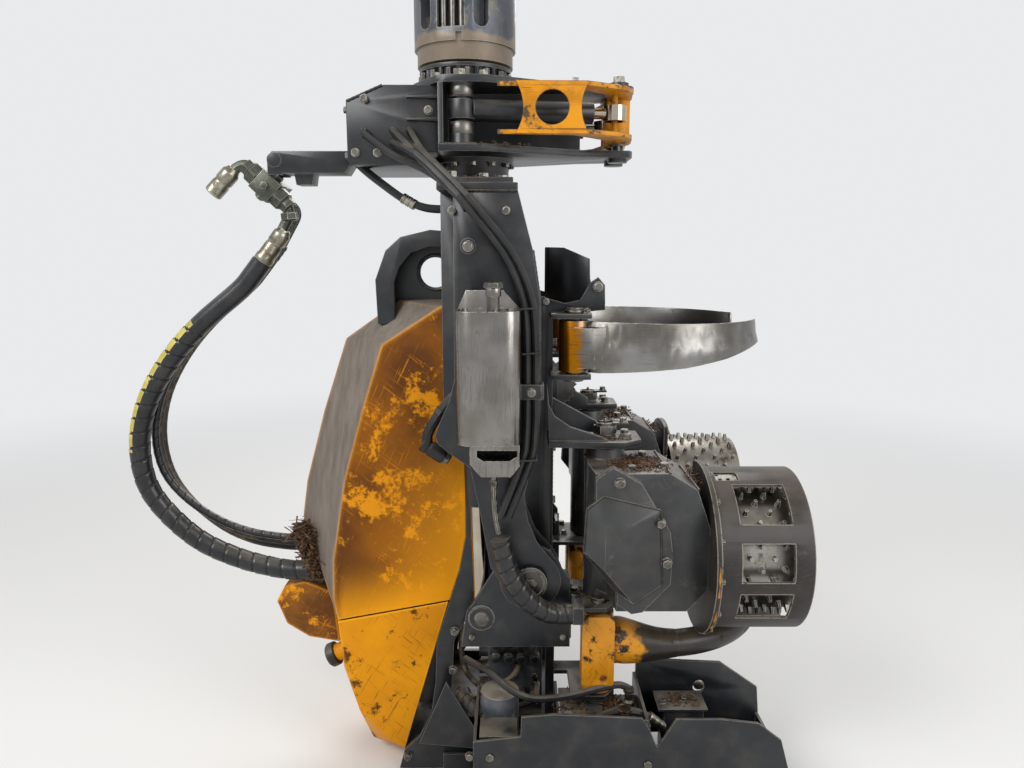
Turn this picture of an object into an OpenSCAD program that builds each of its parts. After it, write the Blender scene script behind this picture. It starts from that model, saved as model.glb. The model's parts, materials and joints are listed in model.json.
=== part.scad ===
// Forestry harvester head with its rotator bracket and tilt frame, in the felling position
// Millimetres. X is the tree side, -Y the near side, Z up. The origin is the rotator's suspension pin

/* [Suspension] */
// Height of the suspension pin over the saw box floor
hang_h = 2420; // [2400:5:2480]
// Radius of the rotator casing
rotor_r = 145; // [135:1:150]
// Radius of the waist under the casing
waist_r = 120; // [110:1:125]
// Diameter of the suspension pin bore
susp_d = 40; // [30:1:50]

/* [Head frame] */
// Outer width over the frame's side plates
frame_w = 410; // [404:1:414]
// Thickness of the side plates
side_t = 15; // [10:1:20]
// Thickness of the arch plates
arch_t = 15; // [10:1:17]
// Thickness of the hood sheet
hood_t = 6; // [3:1:10]

/* [Tilt frame] */
// Thickness of the legs' outer plates
leg_t = 14; // [10:1:20]
// Diameter of the tilt pins
tilt_pin_d = 60; // [50:1:70]
// Outer diameter of the tilt cylinders
tilt_barrel_d = 72; // [64:1:74]
// Diameter of the tilt cylinder rods
tilt_rod_d = 45; // [36:1:48]
// Depth of the tank on the near leg
tank_d = 130; // [110:2:140]

/* [Feed rollers] */
// Diameter of a roller drum
drum_d = 340; // [300:2:344]
// Length of a roller drum
drum_l = 228; // [200:2:236]
// Height of the studs on a drum
stud_h = 18; // [10:1:18]

/* [Knives] */
// Thickness of the knife blades
knife_t = 16; // [10:1:20]
// Diameter of the knife pins
knife_pin_d = 40; // [30:1:46]

/* [Saw] */
// Thickness of the saw bar
bar_t = 8; // [6:1:10]
// Reach of the saw bar from its pivot to its nose
bar_l = 710; // [640:5:730]

/* [Hoses] */
// Outer diameter of the wrapped supply hose
supply_d = 62; // [50:1:66]
// Outer diameter of the thin hoses
thin_d = 24; // [18:1:24]
// Outer diameter of the hoses down the near leg
leg_hose_d = 20; // [16:1:20]

/* [Hidden] */
$fn = 48;
fw = frame_w / 2;
fi = fw - side_t;
tilt_x = 186;
tilt_z = 684;
bracket_top = 2045;
top_x = 22;
top_z = 1600;
lug_x = 48;
lug_z = 560;
leg_in = fw + 15;
leg_in_t = 12;
leg_out = leg_in + 106;
leg_back = leg_out + leg_t;
cyl_y = leg_in + 54;
cyl_swing = -atan2(lug_x - top_x, top_z - lug_z);
cyl_len = norm([lug_x - top_x, top_z - lug_z]);
arm_x = 396;
arm_y = fw + 45;
hub_r = 55;
feed_pin_r = 22;
arm_front = 655;
roll_y = fw + 75;
roll_z = 765;
roll_x = arm_front + 20;
knife_pin_r = knife_pin_d / 2;
up_x = 305;
up_y = fw + 50;
low_x = 380;
low_y = fw + 95;
hold_x = 440;
hold_y = 45;
saw_x = 100;
saw_y = fw + 95;
saw_z = 100;
wheel_x = 262;
wheel_z = 1180;
wheel_r = 74;
shaft_r = 62;
run = 0.1;

black = [0.09, 0.09, 0.1];
yellow = [0.85, 0.55, 0.06];
cast = [0.5, 0.51, 0.52];
steel = [0.62, 0.62, 0.63];
chrome = [0.85, 0.86, 0.88];
rubber = [0.05, 0.05, 0.05];

module seat() translate([0, 0, -hang_h]) children();
module slab(p, y0, y1) translate([0, y1, 0]) rotate([90, 0, 0]) linear_extrude(y1 - y0) polygon(p);
module flat(p, z0, z1) translate([0, 0, z0]) linear_extrude(z1 - z0) polygon(p);
module peg(x, z, r, y0, y1) translate([x, y1, z]) rotate([90, 0, 0]) cylinder(r = r, h = y1 - y0);
module post(x, y, r, z0, z1) translate([x, y, z0]) cylinder(r = r, h = z1 - z0);
module lie(y, z, r, x0, x1) translate([x0, y, z]) rotate([0, 90, 0]) cylinder(r = r, h = x1 - x0);
module box(x0, x1, y0, y1, z0, z1) translate([x0, y0, z0]) cube([x1 - x0, y1 - y0, z1 - z0]);
module both() {
  children();
  mirror([0, 1, 0]) children();
}
module hex(x, y, af, z0, z1) translate([x, y, z0]) cylinder(r = af / sqrt(3), h = z1 - z0, $fn = 6);
// A YZ outline pushed out along X, and a round-ended slot to push
module radial(p, x0, x1) translate([x0, 0, 0]) rotate([90, 0, 90]) linear_extrude(x1 - x0) polygon(p);
function pill(w, z0, z1) = concat([for (a = [180 : 20 : 360]) [w * cos(a), z0 + w + w * sin(a)]],
  [for (a = [0 : 20 : 180]) [w * cos(a), z1 - w + w * sin(a)]]);
// A rectangle in plan with round corners
function rounded(x0, x1, y0, y1, r) = [for (c = [[x1 - r, y1 - r, 0], [x0 + r, y1 - r, 90], [x0 + r, y0 + r, 180],
  [x1 - r, y0 + r, 270]]) for (a = [0 : 15 : 90]) [c[0] + r * cos(c[2] + a), c[1] + r * sin(c[2] + a)]];

// Hose tubes: a ring of points swept along a smooth route
function cr(a, b, c, d, t) = 0.5 * (2 * b + (c - a) * t + (2 * a - 5 * b + 4 * c - d) * t * t
  + (3 * b - a - 3 * c + d) * t * t * t);
function route(p, n) = [for (i = [0 : len(p) - 2]) for (j = [0 : n - 1])
  cr(p[max(i - 1, 0)], p[i], p[i + 1], p[min(i + 2, len(p) - 1)], j / n), p[len(p) - 1]];
function unit(v) = v / norm(v);
function way(c, i) = unit(c[min(i + 1, len(c) - 1)] - c[max(i - 1, 0)]);
function side(t, up) = unit(up - (up * t) * t);
function ring(c, t, up, r, n) = let (s = side(t, up), b = cross(t, s))
  [for (k = [0 : n - 1]) c + r * (cos(360 * k / n) * s + sin(360 * k / n) * b)];
module tube(p, r, up, steps = 4, n = 10) {
  c = route(p, steps);
  m = len(c);
  pts = [for (i = [0 : m - 1]) each ring(c[i], way(c, i), up, r, n)];
  walls = [for (i = [0 : m - 2]) for (k = [0 : n - 1]) let (k1 = (k + 1) % n)
    each [[i * n + k, (i + 1) * n + k, (i + 1) * n + k1], [i * n + k, (i + 1) * n + k1, i * n + k1]]];
  first = [for (k = [0 : n - 1]) k];
  last = [for (k = [n - 1 : -1 : 0]) (m - 1) * n + k];
  polyhedron(points = pts, faces = concat([first], walls, [last]), convexity = 8);
}

// Suspension and rotator
waist_top = bracket_top + 53;
casing_low = bracket_top + 105;
casing_top = hang_h - 90;
window_low = casing_low + 36;
// Round-ended windows stand either side of a wide one, where the pipes run: angle, half width, bottom, top
casing_windows = [for (a = [-136, -69, 44, 111]) [a, 22, window_low, casing_top - 18]];
pipe_windows = [-103, 77];
pipe_window = [38, window_low, casing_top - 30];
module rotator_casing() color(cast) seat() difference() {
  union() {
    post(0, 0, rotor_r, casing_low, casing_top);
    post(0, 0, rotor_r - 8, waist_top + 6, casing_low);
    translate([0, 0, casing_top]) cylinder(r1 = rotor_r, r2 = 100, h = 34);
    slab([[-70, casing_top + 30], [70, casing_top + 30], [55, hang_h], [-55, hang_h]], -45, 45);
    peg(0, hang_h, 55, -45, 45);
  }
  peg(0, hang_h, susp_d / 2, -60, 60);
  post(0, 0, shaft_r + run, waist_top - 18, casing_top - 68);
  for (w = casing_windows) rotate([0, 0, w[0]]) radial(pill(w[1], w[2], w[3]), rotor_r - 45, rotor_r + 5);
  for (a = pipe_windows) rotate([0, 0, a]) {
    box(rotor_r - 45, rotor_r + 5, -pipe_window[0], pipe_window[0], pipe_window[1], pipe_window[2]);
    box(rotor_r - 8, rotor_r + 5, 14, 32, casing_low - 2, casing_low + 22);
  }
}
module rotator_pipes() color(steel) seat() for (a = pipe_windows) rotate([0, 0, a])
  for (y = [-26, 0, 26]) post(rotor_r - 26, y, 9, pipe_window[1], pipe_window[2]);
module rotor_flange() color(black) seat() {
  post(0, 0, waist_r, bracket_top, waist_top - 10);
  post(0, 0, waist_r + 12, waist_top - 10, waist_top);
  post(0, 0, shaft_r, waist_top, casing_top - 75);
  for (a = [0 : 24 : 336]) rotate([0, 0, a]) post(waist_r + 1, 0, 9, bracket_top, waist_top - 10);
}

// Bracket under the rotator
plate_t = 19;
pocket_low = 1869;
pocket_high = bracket_top - plate_t;
cheek_x = -62;
box_y = 190;
function doubled(p) = concat(p, [for (i = [len(p) - 1 : -1 : 0]) [p[i][0], -p[i][1]]]);
bracket_nose = [[60, -228], [330, -95], [420, -80], [470, -80], [480, -60]];
module hanger_bracket() color(black) seat() {
  flat(doubled(concat([[-140, -100], [-84, -190], [-66, -216], [-38, -228]], bracket_nose)), pocket_high, bracket_top);
  flat(doubled(concat([[cheek_x, -228]], bracket_nose)), pocket_low - plate_t, pocket_low);
  box(cheek_x, cheek_x + 14, -222, 222, pocket_low, pocket_high);
  box(cheek_x + 14, 330, -60, 60, pocket_low, pocket_high);
  post(25, 0, 100, 1760, pocket_low - plate_t);
  post(25, 0, 114, pocket_low - plate_t - 14, pocket_low - plate_t);
  both() {
    post(0, -base_y, 22, pocket_low, pocket_high);
    post(0, -base_y, 32, pocket_low, 1928);
    post(0, -base_y, 32, 1992, pocket_high);
    post(hold_x, -hold_y, 18, pocket_low, pocket_high);
    post(hold_x, -hold_y, 28, bracket_top, bracket_top + 12);
    post(hold_x, -hold_y, 28, pocket_low - plate_t - 12, pocket_low - plate_t);
  }
}
box_pts = [[-312, 1826], [-312, 1984], [-210, 2026], [cheek_x, 2026], [cheek_x, 1852], [-94, 1852], [-94, 1818],
  [-296, 1818]];
module manifold_box() color(black) seat() {
  slab(box_pts, -box_y, box_y);
  both() for (z = [1932, 1990]) slab([[-148, z], [cheek_x, z - 2], [cheek_x, z + 8], [-148, z + 6]], -box_y - 14, -box_y);
}
module hose_arm() color(black) seat() {
  slab([[-505, 1800], [-330, 1800], [-312, 1826], [-312, 1860], [-505, 1860]], -145, -55);
  for (y = [-145, -70]) slab([[-545, 1796], [-505, 1796], [-505, 1860], [-530, 1860], [-545, 1845]], y, y + 15);
  peg(-524, 1836, 20, -151, -49);
  slab([[-470, 1770], [-425, 1770], [-420, 1800], [-475, 1800]], -130, -70);
}
// The block carries a bent pipe and its ferrule for each hose of the loop
bend_pts = [[-540, 1745], [-510, 1718], [-503, 1690], [-520, 1655], [-550, 1604]];
loop_top = [-588, 1556];
supply_y = -100;
thin_y = [for (k = [0 : 2]) supply_y + supply_d / 2 + thin_d / 2 + 5 + k * (thin_d + 2)];
function upright(p, y) = [for (q = p) [q[0], y, q[1]]];
module coupling_block() color(steel) seat() {
  translate([-560, supply_y, 1768]) rotate([0, 45, 0]) {
    cube([66, 60, 66], center = true);
    translate([-27, 0, -27]) cube([54, thin_y[2] - supply_y + 16, 54]);
    rotate([0, 90, 0]) cylinder(r = 24, h = 112, center = true);
  }
  tube(upright([[-580, 1795], [-604, 1822], [-636, 1824], [-680, 1790], [-712, 1757]], supply_y), 15, [0, 1, 0]);
  tube(upright(bend_pts, supply_y), 15, [0, 1, 0]);
  tube(upright([bend_pts[4], loop_top], supply_y), 22, [0, 1, 0], 1);
  for (y = thin_y) {
    tube(upright(bend_pts, y), 8, [0, 1, 0], 4, 8);
    tube(upright([bend_pts[4], loop_top], y), thin_d / 2, [0, 1, 0], 1, 8);
  }
}

// Tilt frame: crown and two legs that carry the head
leg_front = [[150, 1740], [189, 1590], [208, 1461], [210, 1194], [203, 1084], [168, 926], [179, 860], [204, 796],
  [245, 745], [186, 690], [101, 684], [76, 720], [50, 866]];
leg_pts = concat([[-15, 1740]], leg_front, [[22, 1008], [-35, 1049], [-64, 1074], [-72, 1096], [-64, 1122],
  [-33, 1191], [-18, 1250], [-15, 1435]]);
leg_in_pts = concat([[-58, 1740]], leg_front, [[-1, 1022], [-58, 1120]]);
leg_web = [[138, 1740], [150, 1740], [189, 1590], [208, 1461], [210, 1194], [203, 1084], [168, 934], [154, 934],
  [189, 1084], [196, 1194], [194, 1461], [175, 1590]];
module tilt_crown() color(black) seat() {
  box(-58, 150, -leg_back, leg_back, 1740, 1760);
  both() slab([[-48, 1760], [-48, 1775], [138, 1775], [138, 1760]], -leg_back + 20, -100);
}
module tilt_legs() color(black) seat() both() {
  difference() {
    union() {
      slab(leg_pts, -leg_back, -leg_out);
      peg(tilt_x, tilt_z, 85, -leg_back, -leg_out);
      slab(leg_in_pts, -leg_in - leg_in_t, -leg_in);
      peg(tilt_x, tilt_z, 85, -leg_in - leg_in_t, -leg_in);
      slab(leg_web, -leg_out, -leg_in - leg_in_t);
      peg(top_x, top_z, 20, -leg_back - 6, -leg_in);
    }
    peg(tilt_x, tilt_z, tilt_pin_d / 2 + run, -400, -200);
  }
}
// The tank stands on a back plate whose top corners are cut; its top is an open tray round the filler
tank_back = -leg_back - 10;
tank_plate = 6;
tank_face = tank_back - tank_plate;
tank_x0 = -6;
tank_x1 = 156;
module tank() color(steel) seat() {
  slab([[tank_x0, 1112], [tank_x1, 1112], [tank_x1, 1440], [112, 1488], [16, 1488], [tank_x0, 1440]], tank_face, tank_back);
  difference() {
    flat(rounded(tank_x0, tank_x1, tank_face - tank_d, tank_face, 42), 1105, 1442);
    flat(rounded(tank_x0 + 5, tank_x1 - 5, tank_face - tank_d + 5, tank_face - 5, 37), 1418, 1450);
  }
  difference() {
    slab([[28, 1105], [28, 1056], [56, 1022], [132, 1022], [154, 1050], [154, 1105]], tank_face - tank_d + 14, tank_face - 20);
    slab([[46, 1091], [46, 1074], [62, 1064], [130, 1064], [148, 1076], [148, 1091]], tank_face - tank_d, tank_face);
  }
  post(88, tank_face - tank_d / 2, 16, 1418, 1476);
  post(88, tank_face - tank_d / 2, 20, 1476, 1496);
  post(88, tank_face - tank_d / 2, 8, 1000, 1022);
  for (z = [1140, 1370]) box(46, 106, tank_back, -leg_back, z, z + 40);
}
// Four hoses in two rows come from the manifold box, cross the leg and run down its front edge
leg_hose_r = leg_hose_d / 2;
leg_hose_step = leg_hose_d + 2;
module leg_hoses() color(rubber) seat() for (k = [0 : 1]) for (j = [0 : 1])
  let (x = k * leg_hose_step, y = -leg_back - leg_hose_r - 2 - j * leg_hose_step, x0 = -180 + 2 * x, z0 = 1900 - 32 * j)
    tube([[x0, -box_y, z0], [x0, -box_y - 16, z0], [x0, -box_y - 32, z0], [x - 110, y + 56, 1830],
      [x, y - 18, 1722], [110 + x, y, 1590], [160 + x, y, 1480], [174 + x, y, 1380], [176 + x, y, 1195],
      [174 + x, y, 1110], [164 + x, y, 1040], [104 + x, y, 880]], leg_hose_r, [0.3, 1, 0.1], 3, 8);

// Holding arms over the head and their cylinders
rod_pin_x = hold_x - 21;
rod_pin_y = hold_y + 84.4;
rod_pin_r = 8;
base_y = 190;
web_x0 = 150;
web_x1 = 330;
waist_curve = 115;
hold_ang = atan2(base_y - rod_pin_y, rod_pin_x);
hold_len = norm([rod_pin_x, base_y - rod_pin_y]);
arm_plate = [[hold_x - 30, -hold_y - 10], [hold_x - 10, -hold_y + 34], [hold_x + 24, -hold_y + 26],
  [hold_x + 34, -hold_y - 20], [hold_x + 24, -hold_y - 110], [hold_x, -200], [332, -264], [97, -272],
  [97, -258], [300, -232], [rod_pin_x - 32, -rod_pin_y - 12]];
module hold_arm() {
  difference() {
    union() {
      flat(arm_plate, 1889, 1901);
      flat(arm_plate, 2009, 2021);
      box(web_x0, web_x1, -270, -262, 1901, 2009);
      post(hold_x, -hold_y, 33, 1889, 2021);
      post(rod_pin_x, -rod_pin_y, rod_pin_r, 1901, 2009);
    }
    post(hold_x, -hold_y, 18 + run, 1880, 2030);
    peg((web_x0 + web_x1) / 2, 1955, 44, -280, -255);
    peg(web_x0 + 14 - waist_curve, 1955, waist_curve, -275, -258);
    peg(web_x1 - 14 + waist_curve, 1955, waist_curve, -275, -258);
  }
}
module hold_arm_near() color(yellow) seat() hold_arm();
module hold_arm_far() color(yellow) seat() mirror([0, 1, 0]) hold_arm();
module hold_frame() translate([0, -base_y, 1960]) rotate([0, 0, hold_ang]) children();
module hold_barrel() hold_frame() difference() {
  union() {
    cylinder(r = 36, h = 50, center = true);
    rotate([0, 90, 0]) translate([0, 0, 30]) cylinder(r = 29, h = 330);
  }
  cylinder(r = 22 + run, h = 80, center = true);
  rotate([0, 90, 0]) translate([0, 0, 60]) cylinder(r = 15 + run, h = 400);
}
module hold_rod() hold_frame() difference() {
  union() {
    rotate([0, 90, 0]) translate([0, 0, 130]) cylinder(r = 15, h = hold_len - 150);
    translate([hold_len, 0, 0]) cylinder(r = 32, h = 40, center = true);
  }
  translate([hold_len, 0, 0]) cylinder(r = 24, h = 60, center = true);
}
module hold_barrel_near() color(black) seat() hold_barrel();
module hold_barrel_far() color(black) seat() mirror([0, 1, 0]) hold_barrel();
module hold_rod_near() color(chrome) seat() hold_rod();
module hold_rod_far() color(chrome) seat() mirror([0, 1, 0]) hold_rod();

// Tilt cylinders inside the legs
module cyl_frame() translate([top_x, -cyl_y, top_z]) rotate([0, cyl_swing, 0]) children();
module tilt_barrels() color(black) seat() both() cyl_frame() difference() {
  union() {
    rotate([90, 0, 0]) cylinder(r = 36, h = 50, center = true);
    translate([0, 0, -715]) cylinder(r = tilt_barrel_d / 2, h = 690);
  }
  rotate([90, 0, 0]) cylinder(r = 20 + run, h = 120, center = true);
  translate([0, 0, -720]) cylinder(r = tilt_rod_d / 2 + run, h = 660);
}
module tilt_rods() color(chrome) seat() both() cyl_frame() difference() {
  union() {
    translate([0, 0, -cyl_len + 20]) cylinder(r = tilt_rod_d / 2, h = cyl_len - 420);
    translate([0, 0, -cyl_len]) rotate([90, 0, 0]) cylinder(r = 38, h = 40, center = true);
  }
  translate([0, 0, -cyl_len]) rotate([90, 0, 0]) cylinder(r = 24, h = 60, center = true);
}

// Head frame
rear_edge = [[0, 1440], [0, 760], [-20, 655], [-50, 559], [-91, 431], [-97, 299], [-111, 199], [-149, 114],
  [-196, 70], [-213, 5]];
side_pts = concat(rear_edge, [[20, 5], [20, 130], [262, 130], [262, 600], [250, 650], [250, 1440]]);
lug_pts = [[250, 1421], [350, 1421], [395, 1425], [393, 1494], [374, 1516], [352, 1500], [325, 1453], [283, 1444],
  [250, 1453], [220, 1462], [200, 1440]];
module main_frame() color(black) seat() {
  both() difference() {
    union() {
      slab(side_pts, -fw, -fi);
      slab(lug_pts, -fw, -fi);
    }
    slab([[-40, 430], [-46, 300], [-60, 180], [235, 180], [235, 540], [20, 540]], -fw - 5, -fi + 5);
    peg(374, 1490, 9, -fw - 5, -fi + 5);
    peg(230, 1449, 8, -fw - 5, -fi + 5);
    peg(tilt_x, tilt_z, tilt_pin_d / 2 + run, -fw - 5, -fi + 5);
  }
}
// Cross plates between the side plates, and the measuring wheel's fork on the front one
module frame_ribs() color(black) seat() {
  difference() {
    box(240, 250, -fi, fi, 600, 1440);
    box(235, 255, -14, 14, 1095, 1268);
  }
  box(0, 240, -fi, fi, 1425, 1440);
  box(0, 12, -fi, fi, 800, 1425);
  box(-50, 262, -fi, fi, 560, 576);
  box(-110, 262, -fi, fi, 130, 145);
  box(-205, 20, -fi, fi, 5, 20);
  both() difference() {
    box(205, 275, -20, -14, 1120, 1240);
    box(250, 290, -30, -5, 1210, 1250);
  }
  peg(wheel_x, wheel_z, 8, -20, 20);
}
arch_pts = [[3, 560], [20, 596], [110, 745], [150, 768], [186, 690], [243, 763], [285, 690], [300, 670], [300, 470],
  [-10, 470]];
arch_in = cyl_y + 23;
arch_back = arch_in + arch_t;
module arch_plates() color(black) seat() both() {
  difference() {
    union() {
      slab(arch_pts, -arch_back, -arch_in);
      peg(tilt_x, tilt_z, 92, -arch_back, -arch_in);
      peg(lug_x, lug_z, 45, -arch_back, -arch_in);
      peg(lug_x, lug_z, 34, -arch_in - 23, -arch_in);
    }
    peg(lug_x, lug_z, 20, -arch_back - 15, -arch_in + 5);
    peg(tilt_x, tilt_z, tilt_pin_d / 2 + run, -arch_back - 5, -arch_in + 5);
  }
  box(-10, 300, -arch_in, -fw, 470, 485);
  box(285, 300, -arch_in, -fw, 485, 660);
}
module tilt_pins() color(steel) seat() both() {
  peg(tilt_x, tilt_z, tilt_pin_d / 2, -leg_back - 4, -fi);
  peg(tilt_x, tilt_z, 46, -leg_back - 18, -leg_back - 3);
}

// Feed arm brackets and pins
web_y = arm_y + 58;
module feed_brackets() color(black) seat() both() {
  difference() {
    flat([[235, -fw], [235, -web_y - 14], [440, -web_y - 30], [490, -arm_y - 50], [490, -fi - 5], [440, -fi],
      [250, -fi], [250, -fw]], 1060, 1078);
    post(arm_x, -arm_y, feed_pin_r + run, 1050, 1090);
  }
  slab([[235, 1078], [228, 1239], [236, 1176], [252, 1146], [294, 1117], [377, 1090], [400, 1078]], -web_y - 14, -web_y);
  slab([[250, 1078], [250, 1176], [390, 1100], [390, 1078]], -fw, -fi);
  box(250, 262, -web_y, -fw, 1078, 1120);
}
module feed_pins() color(steel) seat() both() {
  post(arm_x, -arm_y, feed_pin_r, 586, 1116);
  difference() {
    box(arm_x - 27, arm_x + 27, -arm_y - 27, -arm_y + 27, 1078, 1084);
    post(arm_x, -arm_y, feed_pin_r, 1070, 1090);
  }
  difference() {
    hex(arm_x, -arm_y, 56, 1084, 1108);
    post(arm_x, -arm_y, feed_pin_r, 1070, 1120);
  }
}

// Knife brackets and pins
low_plate = [[262, -fw + 55], [262, -fw + 1], [302, -fw + 1], [302, -low_y - 45], [400, -low_y - 45], [430, -low_y - 10],
  [430, -fw + 5], [400, -fw + 55]];
up_plate = [[250, -fw + 55], [250, -fw], [240, -fw], [240, -up_y - 39], [300, -up_y - 47], [350, -up_y - 35],
  [350, -fw + 15], [320, -fw + 55]];
module knife_brackets() color(black) seat() {
  both() difference() {
    union() {
      flat(low_plate, 592, 604);
      flat(low_plate, 322, 336);
      flat(up_plate, 1408, 1421);
      flat(up_plate, 1242, 1256);
    }
    post(low_x, -low_y, knife_pin_r + run, 300, 650);
    post(arm_x, -arm_y, feed_pin_r + run, 590, 650);
    post(up_x, -up_y, knife_pin_r + run, 1200, 1450);
  }
  box(pivot_end[0], pivot_end[0] + 30, pivot_end[1] - 30, -low_y - 45, 586, 634);
}
module knife_pins() color(steel) seat() both() {
  post(low_x, -low_y, knife_pin_r, 314, 610);
  post(low_x, -low_y, 28, 314, 322);
  post(up_x, -up_y, knife_pin_r, 1234, 1428);
  post(up_x, -up_y, 28, 1421, 1430);
  post(up_x, -up_y, 28, 1234, 1242);
}

// Hoods over the back of the head
front_cut = [[0, 1500], [0, 760], [-20, 655], [-50, 559], [-91, 431], [-97, 299], [-111, 199], [-149, 114],
  [-196, 70], [-213, 5], [-213, -80], [400, -80], [400, 1500]];
up_side = [[0, 1440], [-60, 1436], [-231, 1326], [-291, 1139], [-350, 932], [-392, 686], [-397, 559], [-380, 470],
  [0, 500]];
up_back = [[0, 1446], [-193, 1446], [-353, 1334], [-427, 1116], [-488, 898], [-505, 786], [-347, 470], [0, 470]];
low_side = [[-50, 570], [-389, 520], [-387, 480], [-372, 349], [-332, 199], [-257, 114], [-196, 70]];
low_back = [[-50, 570], [-420, 520], [-398, 285], [-310, 39], [-215, 6]];
// The side outline stands near the frame's faces, the back outline in from them, and the chamfers join the two
hood_y = fw - 5;
back_y = fw - 105;
module hood_hull(a, b, s) hull() {
  slab(a, s - hood_y, hood_y - s);
  slab(b, s - back_y, back_y - s);
}
// Steel stubs on the hood's back take the hoses of the loop
port_x = -480;
module hose_ports() color(steel) seat() difference() {
  union() {
    lie(supply_end[1], supply_end[2], supply_d / 2 - 6, port_x, port_x + 90);
    for (k = [0 : 2]) lie(thin_y[k], thin_end[k], thin_d / 2 - 2, port_x, port_x + 60);
  }
  hood_hull(up_side, up_back, 0);
}
seam_up = [[-700, 435], [0, 568], [60, 568], [60, 300], [-700, 300]];
seam_low = [[-700, 431], [0, 564], [60, 564], [60, 900], [-700, 900]];
module upper_hood() color(yellow) seat() difference() {
  hood_hull(up_side, up_back, 0);
  translate([hood_t, 0, -hood_t]) hood_hull(up_side, up_back, hood_t);
  slab(front_cut, -210, 210);
  slab(seam_up, -210, 210);
}
module lower_hood() color(yellow) seat() difference() {
  hood_hull(low_side, low_back, 0);
  translate([hood_t + 2, 0, 0]) hood_hull(low_side, low_back, hood_t);
  slab(front_cut, -210, 210);
  slab(seam_low, -210, 210);
}
module rear_guard() color(black) seat() difference() {
  slab([[-597, 512], [-572, 561], [-509, 578], [-427, 545], [-380, 540], [-380, 377], [-408, 377], [-502, 394],
    [-569, 438]], -110, 110);
  hood_hull(low_side, low_back, 0);
  hood_hull(up_side, up_back, 0);
}
arc_band = [[-250, 1380], [-254, 1506], [-223, 1588], [-180, 1626], [-95, 1646], [20, 1636], [90, 1560], [104, 1440],
  [60, 1440], [50, 1540], [0, 1592], [-95, 1600], [-150, 1582], [-185, 1540], [-199, 1500], [-199, 1380]];
module arc_guard() color(black) seat() difference() {
  slab(arc_band, -150, 150);
  slab([[-235, 1300], [-238, 1506], [-212, 1578], [-176, 1612], [-95, 1630], [10, 1620], [74, 1553], [88, 1300]], -138, 138);
  hood_hull(up_side, up_back, 0);
}
module top_knife() color(steel) seat() intersection() {
  difference() {
    post(440, 0, 206, 1440, 1600);
    post(440, 0, 190, 1430, 1610);
  }
  slab([[225, 1440], [225, 1599], [283, 1597], [352, 1566], [356, 1440]], -185, 185);
}
module valve_block() color(cast) seat() {
  box(60, 230, -110, 110, 145, 430);
  for (z = [190 : 60 : 370]) lie(-60, z + 15, 22, 30, 60);
  for (z = [190 : 60 : 370]) lie(60, z + 15, 22, 30, 60);
}

// Saw box, saw motor, bar and chain
near_wall = [[30, 0], [30, 285], [158, 300], [160, 358], [250, 366], [484, 355], [505, 320], [525, 270], [545, 300],
  [575, 352], [697, 352], [796, 340], [860, 290], [885, 200], [885, 0]];
far_wall = [[508, 0], [508, 378], [763, 366], [877, 285], [885, 200], [885, 0]];
wall_y = saw_y + 172;
far_y = fw + 10;
module saw_box() color(black) seat() {
  slab(near_wall, -wall_y - 8, -wall_y);
  difference() {
    slab(far_wall, -far_y, -fw);
    box(500, 870, -far_y - 5, -fw + 5, 60, 135);
    peg(700, 285, 17, -far_y - 5, -fw + 5);
  }
  box(30, 38, -wall_y, -fw, 115, 285);
  slab([[-60, 332], [34, 166], [34, 116], [-143, 133]], -saw_y + 32, -saw_y + 40);
  box(877, 885, -wall_y, -far_y, 0, 200);
  box(-77, 877, -wall_y, -far_y, 0, 8);
  box(-77, 508, -far_y, -fw, 0, 8);
  box(-77, 20, -far_y, -fw, 8, 60);
  box(262, 270, -wall_y, -fw, 140, 300);
  box(500, 508, -wall_y, -fw, 140, 330);
}
module saw_motor() color(cast) seat() {
  post(saw_x, -saw_y, 55, 142, 330);
  box(38, 180, -saw_y - 75, -fw, 130, 142);
  post(saw_x, -saw_y, 20, 60, 130);
}
function bar_pts(g) = [[saw_x, -saw_y - 55 - g], [saw_x + bar_l - 38, -saw_y - 38 - g],
  [saw_x + bar_l - 38, -saw_y + 38 + g], [saw_x, -saw_y + 55 + g]];
module bar_shape(g, z0, z1) {
  flat(bar_pts(g), z0, z1);
  post(saw_x, -saw_y, 55 + g, z0, z1);
  post(saw_x + bar_l - 38, -saw_y, 38 + g, z0, z1);
}
module saw_bar() color(steel) seat() difference() {
  bar_shape(0, saw_z - bar_t / 2, saw_z + bar_t / 2);
  post(saw_x, -saw_y, 20 + run, 50, 150);
}
module saw_chain() color(steel) seat() difference() {
  bar_shape(12, saw_z - 6, saw_z + 6);
  bar_shape(0, saw_z - 10, saw_z + 10);
}
module measuring_wheel() color(steel) seat() difference() {
  slab([for (i = [0 : 47]) let (r = i % 2 == 0 ? wheel_r : wheel_r - 9, a = 7.5 * i)
    [wheel_x + r * cos(a), wheel_z + r * sin(a)]], -6, 6);
  peg(wheel_x, wheel_z, 8 + run, -10, 10);
}

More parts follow.
